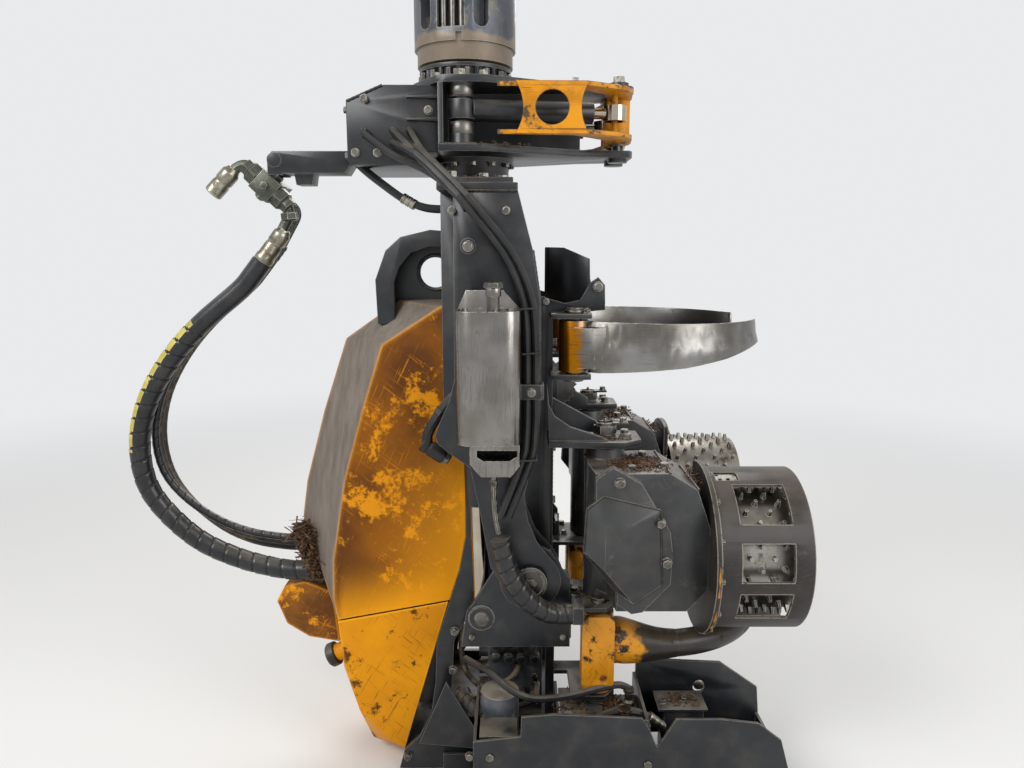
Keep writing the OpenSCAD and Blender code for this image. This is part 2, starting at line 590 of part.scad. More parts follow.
// Feed arms, guards and rollers
arm_face = arm_y + 186;
arm_top = [[arm_x - 50, -arm_y + 20], [arm_x - 36, -arm_y + 42], [arm_x + 40, -arm_y + 40], [470, -fw + 5],
  [arm_front, -fw + 13], [arm_front, -arm_face], [352, -arm_face], [340, -arm_y - 80]];
arm_low = [[arm_x - 40, -arm_y + 30], [arm_x + 40, -arm_y + 40], [470, -fw + 5], [arm_front, -fw + 13],
  [arm_front, -arm_face], [412, -arm_face], [400, -arm_y - 80], [arm_x - 40, -arm_y - 30]];
arm_side = [[330, 1020], [545, 1020], [618, 976], [arm_front, 870], [arm_front, 700], [600, 640], [330, 640]];
rim_pts = [[352, 1010], [395, 1040], [469, 997], [547, 868], [554, 814], [552, 724], [480, 645], [451, 640],
  [412, 668], [412, 790], [352, 800]];
cover_pts = [[322, 815], [328, 930], [372, 965], [520, 928], [530, 724], [455, 668], [412, 700]];
module feed_arm() difference() {
  union() {
    post(arm_x, -arm_y, hub_r, 612, 1050);
    intersection() {
      union() {
        flat(arm_top, 800, 1030);
        flat(arm_low, 630, 800);
      }
      slab(arm_side, -arm_face, -fw + 15);
    }
    slab(rim_pts, -arm_face - 16, -arm_face);
    hull() {
      slab([[374, 776], [374, 868], [380, 868], [380, 776]], -arm_face - 54, -arm_face - 50);
      slab(cover_pts, -arm_face - 16, -arm_face - 4);
    }
  }
  post(arm_x, -arm_y, feed_pin_r + run, 600, 1060);
}
// Roller guards: a bolted disc, a shell round the drum and its windows (from and to angle, from and to X)
guard_r = drum_d / 2 + stud_h + 26;
guard_end = roll_x + drum_l + 9;
windows_near = [[35, 67, 725, 860], [-4, 22, 725, 860], [-37, -13, 725, 860], [72, 84, 688, 749]];
windows_far = [[38, 130, arm_front + 20, guard_end + 10], [-4, 22, 725, 860], [-37, -13, 725, 860]];
bolts_near = [-80 : 26 : 76];
bolts_far = [-80 : 26 : 24];
module shell_window(w) translate([0, -roll_y, roll_z]) rotate([0, 90, 0]) rotate([0, 0, -90 - w[1]])
  rotate_extrude(angle = w[1] - w[0])
    polygon([[guard_r - 20, w[2]], [guard_r + 40, w[2]], [guard_r + 40, w[3]], [guard_r - 20, w[3]]]);
module guard_shape(windows, bolts) difference() {
  union() {
    lie(-roll_y, roll_z, guard_r + 26, arm_front, arm_front + 14);
    lie(-roll_y, roll_z, guard_r + 8, arm_front + 14, guard_end);
    for (a = bolts) translate([0, -roll_y, roll_z]) rotate([-a, 0, 0])
      lie(-guard_r - 17, 0, 8, arm_front + 14, arm_front + 22, $fn = 6);
  }
  lie(-roll_y, roll_z, guard_r, arm_front + 14, guard_end + 10);
  box(arm_front - 5, guard_end + 10, -roll_y + 70, -roll_y + 280, roll_z - 265, roll_z + 260);
  lie(-roll_y, roll_z, 60, arm_front - 5, arm_front + 20);
  for (w = windows) shell_window(w);
}
module roller() {
  difference() {
    lie(-roll_y, roll_z, drum_d / 2, roll_x, roll_x + drum_l);
    lie(-roll_y, roll_z, drum_d / 2 - 22, roll_x - 5, roll_x + drum_l - 60);
    lie(-roll_y, roll_z, drum_d / 2 - 50, roll_x + drum_l - 25, roll_x + drum_l + 5);
  }
  lie(-roll_y, roll_z, 90, roll_x, roll_x + drum_l - 55);
  lie(-roll_y, roll_z, 55, arm_front + 0.2, roll_x);
  for (i = [0 : 6]) for (a = [0 : 20 : 340])
    translate([roll_x + 20 + i * (drum_l - 40) / 6, -roll_y, roll_z]) rotate([a + 10 * (i % 2), 0, 0])
      translate([0, 0, drum_d / 2 - 4]) cylinder(r1 = 9, r2 = 5, h = stud_h + 4, $fn = 6);
}
module feed_arm_near() color(black) seat() feed_arm();
module feed_arm_far() color(black) seat() mirror([0, 1, 0]) feed_arm();
module roller_guard_near() color(black) seat() guard_shape(windows_near, bolts_near);
module roller_guard_far() color(black) seat() mirror([0, 1, 0]) guard_shape(windows_far, bolts_far);
module feed_roller_near() color(steel) seat() roller();
module feed_roller_far() color(steel) seat() mirror([0, 1, 0]) roller();

// Delimbing knives
up_c = [522, 231 - fw, 363];
low_c = [558, 216 - fw, 321];
bar_r = 38;
// The upper knife's wall carries a hollow-ground bevel on its outside; the lower knife is a cast hub with a round bar
module blade(c, a0, a1, p, h) intersection() {
  translate([c[0], c[1], 0]) rotate([0, 0, a0]) rotate_extrude(angle = a1 - a0, $fn = 96)
    polygon([[c[2] - knife_t, h[0]], [c[2], h[0]], [c[2], h[1] - 75], [c[2] - knife_t / 2, h[1] - 45],
      [c[2] - knife_t * 0.8, h[1]], [c[2] - knife_t, h[1]]]);
  slab(p, -500, 500);
}
module upper_knife() difference() {
  union() {
    blade(up_c, 240, 335, [[200, 1262], [370, 1262], [599, 1279], [722, 1298], [900, 1340], [900, 1392], [200, 1402]],
      [1262, 1402]);
    post(up_x, -up_y, 42, 1262, 1402);
    flat([[up_x - 20, -up_y - 36], [up_x + 50, -up_y - 66], [up_x + 90, -up_y - 40], [up_x + 30, -up_y + 28]], 1275, 1385);
  }
  post(up_x, -up_y, knife_pin_r + run, 1200, 1450);
}
module lower_knife() difference() {
  union() {
    translate([low_c[0], low_c[1], 480]) rotate([0, 0, 246]) rotate_extrude(angle = 84, $fn = 72)
      translate([low_c[2], 0]) circle(r = bar_r, $fn = 24);
    post(low_x, -low_y, 45, 344, 580);
    slab([[332, 378], [348, 362], [407, 362], [423, 378], [423, 564], [407, 580], [348, 580], [332, 564]],
      -low_y - 52, -low_y + 10);
  }
  post(low_x, -low_y, knife_pin_r + run, 300, 600);
  peg(394, 393, 12, -low_y - 60, -low_y - 30);
}
module upper_knife_near() color(steel) seat() upper_knife();
module upper_knife_far() color(steel) seat() mirror([0, 1, 0]) upper_knife();
module lower_knife_near() color(steel) seat() lower_knife();
module lower_knife_far() color(steel) seat() mirror([0, 1, 0]) lower_knife();

// Hoses between the bracket and the head
supply_end = [port_x, supply_y, 612];
supply_pts = concat(upright([loop_top, [-619, 1517], [-657, 1475], [-781, 1373], [-877, 1269], [-951, 1149], [-986, 1026],
  [-978, 901], [-927, 806], [-827, 709], [-707, 650], [-600, 620], [-540, 612], [-510, 612]], supply_y), [supply_end]);
module supply_hose() color(rubber) seat() tube(supply_pts, supply_d / 2, [0, 1, 0], 4, 12);
// The thin hoses run behind the big one, then fan out above it: X, Z, share of the fan
thin_path = [[-588, 1556, 0], [-619, 1517, 0], [-655, 1478, 0], [-775, 1376, 0], [-865, 1272, 0], [-932, 1152, 0],
  [-960, 1030, 0.1], [-944, 918, 0.3], [-884, 832, 0.6], [-790, 762, 0.9], [-690, 720, 1], [-590, 702, 1], [-540, 700, 1],
  [-510, 700, 1], [-480, 700, 1]];
thin_end = [for (k = [0 : 2]) 700 - k * (thin_d + 2)];
module pilot_hoses() color(rubber) seat() for (k = [0 : 2])
  tube([for (p = thin_path) [p[0], thin_y[k], p[1] + p[2] * (thin_end[k] - 700)]], thin_d / 2, [0, 1, 0], 4, 8);
// The wrapped hose crosses the tilt pin outside the near leg and ends on the knife bracket
pivot_y = leg_back + 60;
pivot_r = 29;
pivot_end = [300, -low_y - 78, 604];
module pivot_hose() color(rubber) seat()
  tube([[105, -pivot_y, 830], [128, -pivot_y - 2, 735], [172, -pivot_y, 662], [222, pivot_end[1] - 10, 618],
    [260, pivot_end[1], 604], [280, pivot_end[1], 604], pivot_end], pivot_r, [0.3, 1, 0.1], 5, 12);

rotator_casing();
rotator_pipes();
rotor_flange();
hanger_bracket();
manifold_box();
hose_arm();
coupling_block();
tilt_crown();
tilt_legs();
tank();
leg_hoses();
hold_arm_near();
hold_arm_far();
hold_barrel_near();
hold_barrel_far();
hold_rod_near();
hold_rod_far();
tilt_barrels();
tilt_rods();
main_frame();
frame_ribs();
arch_plates();
tilt_pins();
feed_brackets();
feed_pins();
knife_brackets();
knife_pins();
hose_ports();
upper_hood();
lower_hood();
rear_guard();
arc_guard();
top_knife();
valve_block();
saw_box();
saw_motor();
saw_bar();
saw_chain();
measuring_wheel();
feed_arm_near();
feed_arm_far();
roller_guard_near();
roller_guard_far();
feed_roller_near();
feed_roller_far();
upper_knife_near();
upper_knife_far();
lower_knife_near();
lower_knife_far();
supply_hose();
pilot_hoses();
pivot_hose();
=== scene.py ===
# %% [markdown]
# # A harvester head in its felling position
# The head hangs from a rotator. A bracket, a tilt frame with two legs and two tilt cylinders carry it, and
# it holds the tree with knives and studded rollers and cuts it with the saw in the box at its foot.
# The solids come packed from the CAD model as a fixed frame. This script breaks their edges, gives each
# surface its finish, and adds the small things that a solid model leaves out: hose wrap, clamps, bolts,
# welds, chips and chain.

# %% The frame and the units
import json
import math
import random

import bmesh
import bpy
from mathutils import Matrix, Vector


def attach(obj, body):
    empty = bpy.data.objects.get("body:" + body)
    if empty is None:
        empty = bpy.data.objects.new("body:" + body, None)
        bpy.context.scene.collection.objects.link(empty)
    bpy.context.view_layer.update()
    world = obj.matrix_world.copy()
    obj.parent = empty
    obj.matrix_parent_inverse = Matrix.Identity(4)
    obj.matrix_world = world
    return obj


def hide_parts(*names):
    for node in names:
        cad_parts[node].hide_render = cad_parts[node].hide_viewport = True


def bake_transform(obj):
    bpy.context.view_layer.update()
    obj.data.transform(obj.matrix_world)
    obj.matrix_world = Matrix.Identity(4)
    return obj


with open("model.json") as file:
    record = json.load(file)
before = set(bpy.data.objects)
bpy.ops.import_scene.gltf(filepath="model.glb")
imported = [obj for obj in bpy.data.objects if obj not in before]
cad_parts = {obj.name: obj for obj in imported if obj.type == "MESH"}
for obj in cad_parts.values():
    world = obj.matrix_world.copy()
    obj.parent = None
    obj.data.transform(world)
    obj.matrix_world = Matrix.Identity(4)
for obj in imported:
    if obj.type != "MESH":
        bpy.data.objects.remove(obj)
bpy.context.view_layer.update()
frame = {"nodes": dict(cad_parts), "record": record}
MM = 0.001
PIN_HEIGHT = 2420.0  # the suspension pin, the origin, stands this far over the saw box floor


def at(x, y, z):
    """A place in millimetres, with z from the saw box floor, as metres in the shared frame."""
    return Vector((x, y, z - PIN_HEIGHT)) * MM


def clear():
    """Leaves edit mode and deselects everything, because an operator acts on all that is selected."""
    if bpy.context.object and bpy.context.object.mode != "OBJECT":
        bpy.ops.object.mode_set(mode="OBJECT")
    bpy.ops.object.select_all(action="DESELECT")


clear()

# %% [markdown]
# ## Camera
# The photograph was taken with a phone at chest height, close to the head and tilted a little down. A 27 mm
# lens on a 36 mm sensor gives the same stretch between the near saw box and the far hood. A longer lens
# from farther away would fit the outline as well, but it would flatten the rollers and the box.

# %% The camera
bpy.ops.object.camera_add(location=at(135, -2350, 1590), rotation=(math.radians(80.1), 0, 0))
camera = bpy.context.object
camera.data.lens = 27
camera.data.sensor_width = 36
camera.data.clip_end = 60
bpy.context.scene.camera = camera
print("camera at", [round(v, 3) for v in camera.location])

# %% [markdown]
# ## Nodes
# One small function adds any node with its settings and its links, so that a material reads as a recipe.
# Colours are written as the eye reads them, in sRGB hex, and one function turns them to linear light.


# %% Node and colour helpers
def ink(code, alpha=1.0):
    """An sRGB hex colour as linear light."""
    parts = [int(code[i:i + 2], 16) / 255 for i in (1, 3, 5)]
    return tuple(c / 12.92 if c <= 0.04045 else ((c + 0.055) / 1.055) ** 2.4 for c in parts) + (alpha,)


def add(tree, kind, settings=None, links=None, **look):
    """Adds a node, sets its fields and its sockets, and links its inputs."""
    node = tree.nodes.new(kind)
    for key, value in look.items():
        setattr(node, key, value)
    for key, value in (settings or {}).items():
        node.inputs[key].default_value = value
    for key, output in (links or {}).items():
        tree.links.new(output, node.inputs[key])
    return node


# %% [markdown]
# ## Painted, forged and polished surfaces
# Every hard surface is built in the same layers as the real one: the coat itself with its slow changes of
# tone, the wear that takes it away in patches, scratches and along edges, and the dust that settles on
# what faces up. The bevel shader finds the edges: where a rounded normal leaves the flat one, paint wears.
# All sizes are given in millimetres of the real surface and divided into 1000, because a noise of scale 1
# has blotches about a metre wide.


# %% The layered surface
def surface(name, coat, shade, under, *, patch=140, patch_at=(0.6, 0.75), scratch=5, along=(1, 1, 18),
            leans=(0,), scratch_at=(0.63, 0.7), edge=0.6, edge_mm=3.0, edge_tint=None, dust="#8d8475",
            dusty=0.35, roughness=(0.38, 0.62), metal=(0.0, 0.0), bump=0.15, bump_mm=2.5, grain=0.68,
            gloss=0.5, flank=None, root=None):
    """coat and shade are the sound finish, and under is what shows where it is worn away.

    patch, scratch, edge_mm and bump_mm are sizes on the real surface in millimetres. patch_at and
    scratch_at are the noise levels between which wear begins and is full, so lower levels wear more.
    flank gives two colours for the faces that look away from the sides. root gives another coat up to
    a place on an axis, as (colour, millimetres, axis)."""
    material = bpy.data.materials.new(name)
    material.use_nodes = True
    tree = material.node_tree
    tree.nodes.clear()
    spot = add(tree, "ShaderNodeTexCoord")
    here = {"Vector": spot.outputs["Object"]}
    eased = {"interpolation_type": "SMOOTHSTEP"}
    in_colour = {"data_type": "RGBA"}
    geometry = add(tree, "ShaderNodeNewGeometry")
    # the coat drifts between two tones over clouds almost twice as wide as the worn patches
    cloud = add(tree, "ShaderNodeTexNoise", {"Scale": 590 / patch, "Detail": 5.0}, here)
    drift = add(tree, "ShaderNodeMapRange", {"From Min": 0.38, "From Max": 0.62},
                {"Value": cloud.outputs["Fac"]}, **eased)
    sound = add(tree, "ShaderNodeMix", {6: ink(coat), 7: ink(shade)}, {0: drift.outputs["Result"]},
                **in_colour)
    colour = sound.outputs[2]
    if root:
        # the other coat ends in a ragged line
        axes = add(tree, "ShaderNodeSeparateXYZ", None, here)
        ragged = add(tree, "ShaderNodeTexNoise", {"Scale": 22.0, "Detail": 7.0}, here)
        shifted = add(tree, "ShaderNodeMath", {1: 0.09}, {0: ragged.outputs["Fac"], 2: axes.outputs[root[2]]},
                      operation="MULTIPLY_ADD")
        kept = add(tree, "ShaderNodeMapRange",
                   {"From Min": root[1] * MM + 0.05, "From Max": root[1] * MM + 0.035},
                   {"Value": shifted.outputs[0]})
        rooted = add(tree, "ShaderNodeMix", {7: ink(root[0])}, {0: kept.outputs["Result"], 6: colour},
                     **in_colour)
        colour = rooted.outputs[2]
    # the coat wears through in patches; scratches lie in one or more leaning sets, and the strongest wins
    blotch = add(tree, "ShaderNodeTexNoise", {"Scale": 1000 / patch, "Detail": 9.0, "Roughness": grain}, here)
    patches = add(tree, "ShaderNodeMapRange", {"From Min": patch_at[0], "From Max": patch_at[1]},
                  {"Value": blotch.outputs["Fac"]}, **eased)
    marked = patches.outputs["Result"]
    # scratches gather where branches strike, and fade out between
    struck = add(tree, "ShaderNodeTexNoise", {"Scale": 7.0, "Detail": 3.0}, here)
    often = add(tree, "ShaderNodeMapRange",
                {"From Min": 0.42, "From Max": 0.6, "To Min": 0.12, "To Max": 0.9},
                {"Value": struck.outputs["Fac"]}, **eased)
    for lean in leans:
        turned_by = add(tree, "ShaderNodeMapping", {"Rotation": (0.0, math.radians(lean), 0.0),
                                                    "Scale": tuple(scratch * MM * s for s in along)},
                        here, vector_type="TEXTURE")
        hair = add(tree, "ShaderNodeTexNoise", {"Scale": 1.0, "Detail": 4.0},
                   {"Vector": turned_by.outputs["Vector"]})
        lines = add(tree, "ShaderNodeMapRange", {"From Min": scratch_at[0], "From Max": scratch_at[1]},
                    {"Value": hair.outputs["Fac"], "To Max": often.outputs["Result"]}, **eased)
        both = add(tree, "ShaderNodeMath", None, {0: marked, 1: lines.outputs["Result"]}, operation="MAXIMUM")
        marked = both.outputs[0]
    bared = add(tree, "ShaderNodeMix", {7: ink(under)}, {0: marked, 6: colour}, **in_colour)
    colour = bared.outputs[2]
    if flank:
        # faces turned away from the sides meet bark and rain: drawn-out streaks run down them
        turned_to = add(tree, "ShaderNodeSeparateXYZ", None, {"Vector": spot.outputs["Normal"]})
        sideways = add(tree, "ShaderNodeMath", None, {0: turned_to.outputs["Y"]}, operation="ABSOLUTE")
        away = add(tree, "ShaderNodeMapRange", {"From Min": 0.97, "From Max": 0.93},
                   {"Value": sideways.outputs[0]})
        streak_at = add(tree, "ShaderNodeMapping", {"Scale": (42.0, 42.0, 3.5)}, here)
        streak = add(tree, "ShaderNodeTexNoise", {"Scale": 1.0, "Detail": 6.0, "Roughness": 0.65},
                     {"Vector": streak_at.outputs["Vector"]})
        streaks = add(tree, "ShaderNodeMapRange", {"From Min": 0.35, "From Max": 0.68},
                      {"Value": streak.outputs["Fac"]})
        grey = add(tree, "ShaderNodeMix", {6: ink(flank[0]), 7: ink(flank[1])},
                   {0: streaks.outputs["Result"]}, **in_colour)
        split = add(tree, "ShaderNodeMix", None, {0: away.outputs["Result"], 6: colour, 7: grey.outputs[2]},
                    **in_colour)
        colour = split.outputs[2]
    # a rounded normal that leaves the flat one marks an edge, and a fine noise leaves gaps in its rubbed line
    rounded = add(tree, "ShaderNodeBevel", {"Radius": edge_mm * MM}, samples=4)
    straight = add(tree, "ShaderNodeVectorMath", None,
                   {0: rounded.outputs["Normal"], 1: geometry.outputs["Normal"]}, operation="DOT_PRODUCT")
    rim = add(tree, "ShaderNodeMapRange", {"From Min": 0.995, "From Max": 0.93},
              {"Value": straight.outputs["Value"]}, **eased)
    nick = add(tree, "ShaderNodeTexNoise", {"Scale": 70.0, "Detail": 6.0}, here)
    nicks = add(tree, "ShaderNodeMapRange", {"From Min": 0.62 - 0.35 * edge, "From Max": 0.72 - 0.3 * edge},
                {"Value": nick.outputs["Fac"]}, **eased)
    rubbed = add(tree, "ShaderNodeMath", None, {0: rim.outputs["Result"], 1: nicks.outputs["Result"]},
                 operation="MULTIPLY")
    worn = add(tree, "ShaderNodeMath", None, {0: marked, 1: rubbed.outputs[0]}, operation="MAXIMUM")
    # edge_tint colours the rubbed line; on the orange paints it is brighter than the paint: wear and painted
    # highlight
    edged = add(tree, "ShaderNodeMix", {7: ink(edge_tint or under)}, {0: rubbed.outputs[0], 6: colour},
                **in_colour)
    # dust lies on what looks up, and clings as a thin film anywhere
    looks = add(tree, "ShaderNodeSeparateXYZ", None, {"Vector": geometry.outputs["Normal"]})
    level = add(tree, "ShaderNodeMapRange",
                {"From Min": 0.25, "From Max": 0.95, "To Max": min(1.0, dusty * 1.9)},
                {"Value": looks.outputs["Z"]}, **eased)
    speck = add(tree, "ShaderNodeTexNoise", {"Scale": 15.0, "Detail": 8.0}, here)
    lie = add(tree, "ShaderNodeMapRange", {"From Min": 0.25, "From Max": 0.6},
              {"Value": speck.outputs["Fac"]})
    settled = add(tree, "ShaderNodeMath", None, {0: level.outputs["Result"], 1: lie.outputs["Result"]},
                  operation="MULTIPLY")
    film = add(tree, "ShaderNodeMapRange", {"From Min": 0.42, "From Max": 0.8, "To Max": dusty * 0.35},
               {"Value": speck.outputs["Fac"]}, **eased)
    laid = add(tree, "ShaderNodeMath", None, {0: settled.outputs[0], 1: film.outputs["Result"]},
               operation="MAXIMUM")
    dusted = add(tree, "ShaderNodeMix", {7: ink(dust)}, {0: laid.outputs[0], 6: edged.outputs[2]},
                 **in_colour)
    # worn and dusty spots are duller than the sound coat
    sheen = add(tree, "ShaderNodeMapRange", {"To Min": roughness[0], "To Max": roughness[1]},
                {"Value": worn.outputs[0]})
    dulled = add(tree, "ShaderNodeMath", {1: 0.85}, {0: laid.outputs[0]}, operation="MULTIPLY")
    rough = add(tree, "ShaderNodeMath", None, {0: sheen.outputs["Result"], 1: dulled.outputs[0]},
                operation="MAXIMUM")
    pore = add(tree, "ShaderNodeTexNoise", {"Scale": 1000 / bump_mm, "Detail": 3.0}, here)
    sunk = add(tree, "ShaderNodeMath", {1: -0.5}, {0: worn.outputs[0], 2: pore.outputs["Fac"]},
               operation="MULTIPLY_ADD")
    relief = add(tree, "ShaderNodeBump", {"Strength": bump, "Distance": 0.001}, {"Height": sunk.outputs[0]})
    shader = add(tree, "ShaderNodeBsdfPrincipled", {"Metallic": metal[0], "Specular IOR Level": gloss},
                 {"Base Color": dusted.outputs[2], "Roughness": rough.outputs[0],
                  "Normal": relief.outputs["Normal"]})
    if metal[0] != metal[1]:
        bare = add(tree, "ShaderNodeMath", None, {0: worn.outputs[0], 1: laid.outputs[0]},
                   operation="SUBTRACT", use_clamp=True)
        share = add(tree, "ShaderNodeMapRange", {"To Min": metal[0], "To Max": metal[1]},
                    {"Value": bare.outputs[0]})
        tree.links.new(share.outputs["Result"], shader.inputs["Metallic"])
    add(tree, "ShaderNodeOutputMaterial", None, {"Surface": shader.outputs["BSDF"]})
    return material


# %% [markdown]
# ## The finishes
# The hood's sides are orange paint rubbed to a rusty brown, with rubbed paint along the folded edges that a
# painted highlight brightens, and the chamfers that stems and branches brush are grey with dust. Frame paint
# is black and satin, and chips of bark turn its upper faces brown. Wear could be painted by hand on to each
# piece. Noise at real sizes was chosen, because one recipe then covers a whole family of parts and no two
# of them look alike.

# %% Painted finishes
# rusty brown coat with orange streaks rubbed bright, and along each fold rubbed paint brightened by a painted
# highlight
hood_paint = surface("rubbed orange hood paint", "#5e3304", "#8a5002", "#da8c00", patch=150,
                     patch_at=(0.535, 0.6), grain=0.8, scratch=2.2, along=(1, 1, 60), leans=(24, -52),
                     scratch_at=(0.64, 0.68), edge=1.4, edge_mm=18, edge_tint="#f8a400", dust="#8f7f66",
                     dusty=0.04, roughness=(0.5, 0.42), gloss=0.2, bump=0.22, flank=("#7f766e", "#655c53"))
# mostly sound orange, with brown scrapes as wide as a hand
# its edge tint, brighter than the sound orange, paints a highlight along the folds
foot_paint = surface("scraped orange foot paint", "#de9300", "#d08500", "#5a3304", patch=130,
                     patch_at=(0.58, 0.63), grain=0.78, scratch=3, along=(1, 1, 34), leans=(30, -50),
                     scratch_at=(0.64, 0.68), edge=1.2, edge_mm=9, edge_tint="#f8ae04", dust="#8f7f66",
                     dusty=0.02, roughness=(0.48, 0.6), gloss=0.2, bump=0.22)
# browner than the hood, with orange left in small patches
# its edge tint, brighter than the orange beneath, paints a highlight along the folds
rear_paint = surface("rusty orange rear paint", "#87500a", "#5f3605", "#dd9000", patch=80,
                     patch_at=(0.53, 0.59), grain=0.8, scratch=3, along=(1, 1, 24), leans=(35, -60),
                     scratch_at=(0.62, 0.67), edge=1.2, edge_mm=12, edge_tint="#eea00a", dust="#8f7f66",
                     dusty=0.06, roughness=(0.48, 0.5), gloss=0.25, bump=0.22)
# satin black with a few grey scratches and pale dust on top
black = surface("satin black frame paint", "#14161a", "#1b1e22", "#3f3c39", patch=70, patch_at=(0.66, 0.8),
                scratch=2.2, along=(1, 1, 22), leans=(20, -65), scratch_at=(0.68, 0.75), edge=0.9,
                dust="#857c6d", dusty=0.3, roughness=(0.36, 0.58), metal=(0.0, 0.3), bump=0.2,
                edge_tint="#84817c")
# the same paint rubbed dull and brown by bark, in patches of 40 mm
guard_black = surface("bark-rubbed guard paint", "#221d19", "#171310", "#4b4238", patch=40,
                      patch_at=(0.56, 0.72), scratch=2.4, along=(1, 1, 18), leans=(90, 70),
                      scratch_at=(0.62, 0.7), edge=0.95, edge_mm=5, edge_tint="#aaa294", dust="#65594b",
                      dusty=0.24, roughness=(0.5, 0.64), metal=(0.0, 0.25), bump=0.25)
# dark slate, a little lighter and glossier than the frame
arm_grey = surface("satin slate arm paint", "#262627", "#313233", "#544c43", patch=60, patch_at=(0.6, 0.76),
                   scratch=2.2, along=(1, 1, 24), leans=(80, -30), scratch_at=(0.65, 0.72), edge=0.9,
                   edge_tint="#8d8b87", dust="#7f7465", dusty=0.35, roughness=(0.32, 0.55), bump=0.18)
# deep yellow chipped to dark steel every few centimetres
yellow = surface("yellow arm paint", "#d48c00", "#b87600", "#4a3a24", patch=36, patch_at=(0.55, 0.64),
                 scratch=2.4, along=(1, 1, 26), leans=(90, 60, -70), scratch_at=(0.63, 0.7), edge=1.3,
                 dust="#8f7f60", dusty=0.1, roughness=(0.46, 0.6), gloss=0.3, edge_tint="#51483f")
# yellow at its root, and beyond it worn to a dark casting
hub_paint = surface("yellow casting worn black", "#231f1c", "#302b27", "#1d1916", patch=60,
                    patch_at=(0.54, 0.62), scratch=3, along=(1, 1, 16), leans=(30, -40),
                    scratch_at=(0.62, 0.7), edge=1.0, dust="#7d6c55", dusty=0.22, roughness=(0.36, 0.6),
                    metal=(0.1, 0.4), bump=0.3, edge_tint="#8a8175", root=("#cf8806", 500, "X"))
print("painted finishes mixed")

# %% [markdown]
# ## Metals without paint
# Castings keep the coarse skin of their sand mould. Tool steel that slides along stems is polished by them
# and holds a dark film in its hollows. Plated nuts and ferrules are small, so their wear is fine grained.
# Where dirt and rust have taken the place of the polish, the metallic value falls too.

# %% Bare metals
# coarse grey skin of sand casting, with dust in its pits
cast = surface("grey cast iron", "#5b6068", "#474c54", "#857a67", patch=60, patch_at=(0.54, 0.72), scratch=3,
               leans=(0, 40), edge=0.7, dust="#a49782", dusty=0.4, roughness=(0.42, 0.66), metal=(0.3, 0.2),
               bump=0.5, bump_mm=3.5, edge_tint="#a8a59e")
# the same skin with a brown lower part, where dust cakes
casing_cast = surface("dusty rotator casting", "#4f545c", "#3d4249", "#83786a", patch=60,
                      patch_at=(0.54, 0.7), scratch=3, leans=(0, 40), edge=0.8, dust="#a89a86", dusty=0.45,
                      roughness=(0.4, 0.66), metal=(0.3, 0.2), bump=0.5, bump_mm=3.5, edge_tint="#aaa69d",
                      root=("#7c6f5f", 2176 - PIN_HEIGHT, "Z"))
# long polished streaks along the blade over a dark film of resin
knife = surface("stem-polished knife steel", "#918f8c", "#67645f", "#3c3732", patch=110,
                patch_at=(0.58, 0.74), scratch=2.2, along=(30, 30, 1), scratch_at=(0.58, 0.7), edge=0.4,
                dust="#7d6c55", dusty=0.2, edge_tint="#cfcdc8", roughness=(0.3, 0.5), metal=(1.0, 0.6),
                bump=0.1, bump_mm=2.0, root=("#a5690b", 318, "X"))
# bright stud tips on a drum that is dark between them
studs = surface("roller steel", "#99968f", "#726e68", "#38332c", patch=60, patch_at=(0.54, 0.7), scratch=3,
                edge=0.9, edge_tint="#e2dfd8", dust="#75664f", dusty=0.25, roughness=(0.34, 0.58),
                metal=(1.0, 0.5), bump=0.2)
# plain worn steel, for pins, pipes and plates
steel = surface("worn bare steel", "#75726d", "#5c5955", "#42382f", patch=45, patch_at=(0.55, 0.72),
                scratch=2.5, along=(1, 1, 12), leans=(0, 55), edge=0.7, dust="#7c705e", dusty=0.3,
                roughness=(0.36, 0.58), metal=(1.0, 0.6), bump=0.25, edge_tint="#b5b2ab")
# warm zinc plating, scratched finely
ferrule = surface("worn plated ferrule", "#a3a093", "#7f7b6d", "#5e5542", patch=22, patch_at=(0.52, 0.66),
                  scratch=1.6, along=(1, 1, 10), leans=(35, -45), scratch_at=(0.58, 0.68), edge=0.7,
                  dust="#7d745f", dusty=0.15, roughness=(0.32, 0.5), metal=(1.0, 0.8), bump=0.15,
                  edge_tint="#d2cfc4")
# dull grey-green plating with pale corners
fitting = surface("grey-green hose fitting", "#52544c", "#43453f", "#8d8a7d", patch=26, patch_at=(0.6, 0.72),
                  scratch=2, leans=(30, -50), edge=0.9, dust="#7d745f", dusty=0.25, roughness=(0.45, 0.36),
                  metal=(0.7, 1.0), bump=0.2, edge_tint="#a9a698")
# hair-fine brushing along the tank, which spreads its highlight
stainless = surface("brushed tank steel", "#8f8c88", "#7a7671", "#56504a", patch=70, patch_at=(0.58, 0.74),
                    scratch=1.2, along=(1, 1, 46), leans=(0, 3), scratch_at=(0.5, 0.78), edge=0.5,
                    dust="#8c7f6d", dusty=0.22, roughness=(0.24, 0.44), metal=(1.0, 0.9), bump=0.08,
                    bump_mm=1.6, edge_tint="#c9c6c1")
# smooth rod, almost a mirror
chrome = surface("hard chrome", "#bdb5a6", "#aaa192", "#857e73", patch=90, patch_at=(0.7, 0.85), scratch=1.5,
                 along=(1, 1, 30), scratch_at=(0.7, 0.8), edge=0.0, dust="#9b9488", dusty=0.08,
                 roughness=(0.14, 0.26), metal=(1.0, 1.0), bump=0.02)
# small bolts, matt grey with rubbed corners
zinc = surface("zinc-plated bolt", "#7b7872", "#625f59", "#453c32", patch=20, patch_at=(0.52, 0.7), scratch=2,
               edge=0.6, dust="#8f8778", dusty=0.3, roughness=(0.36, 0.56), metal=(1.0, 0.7), bump=0.1,
               edge_tint="#b9b6ae")
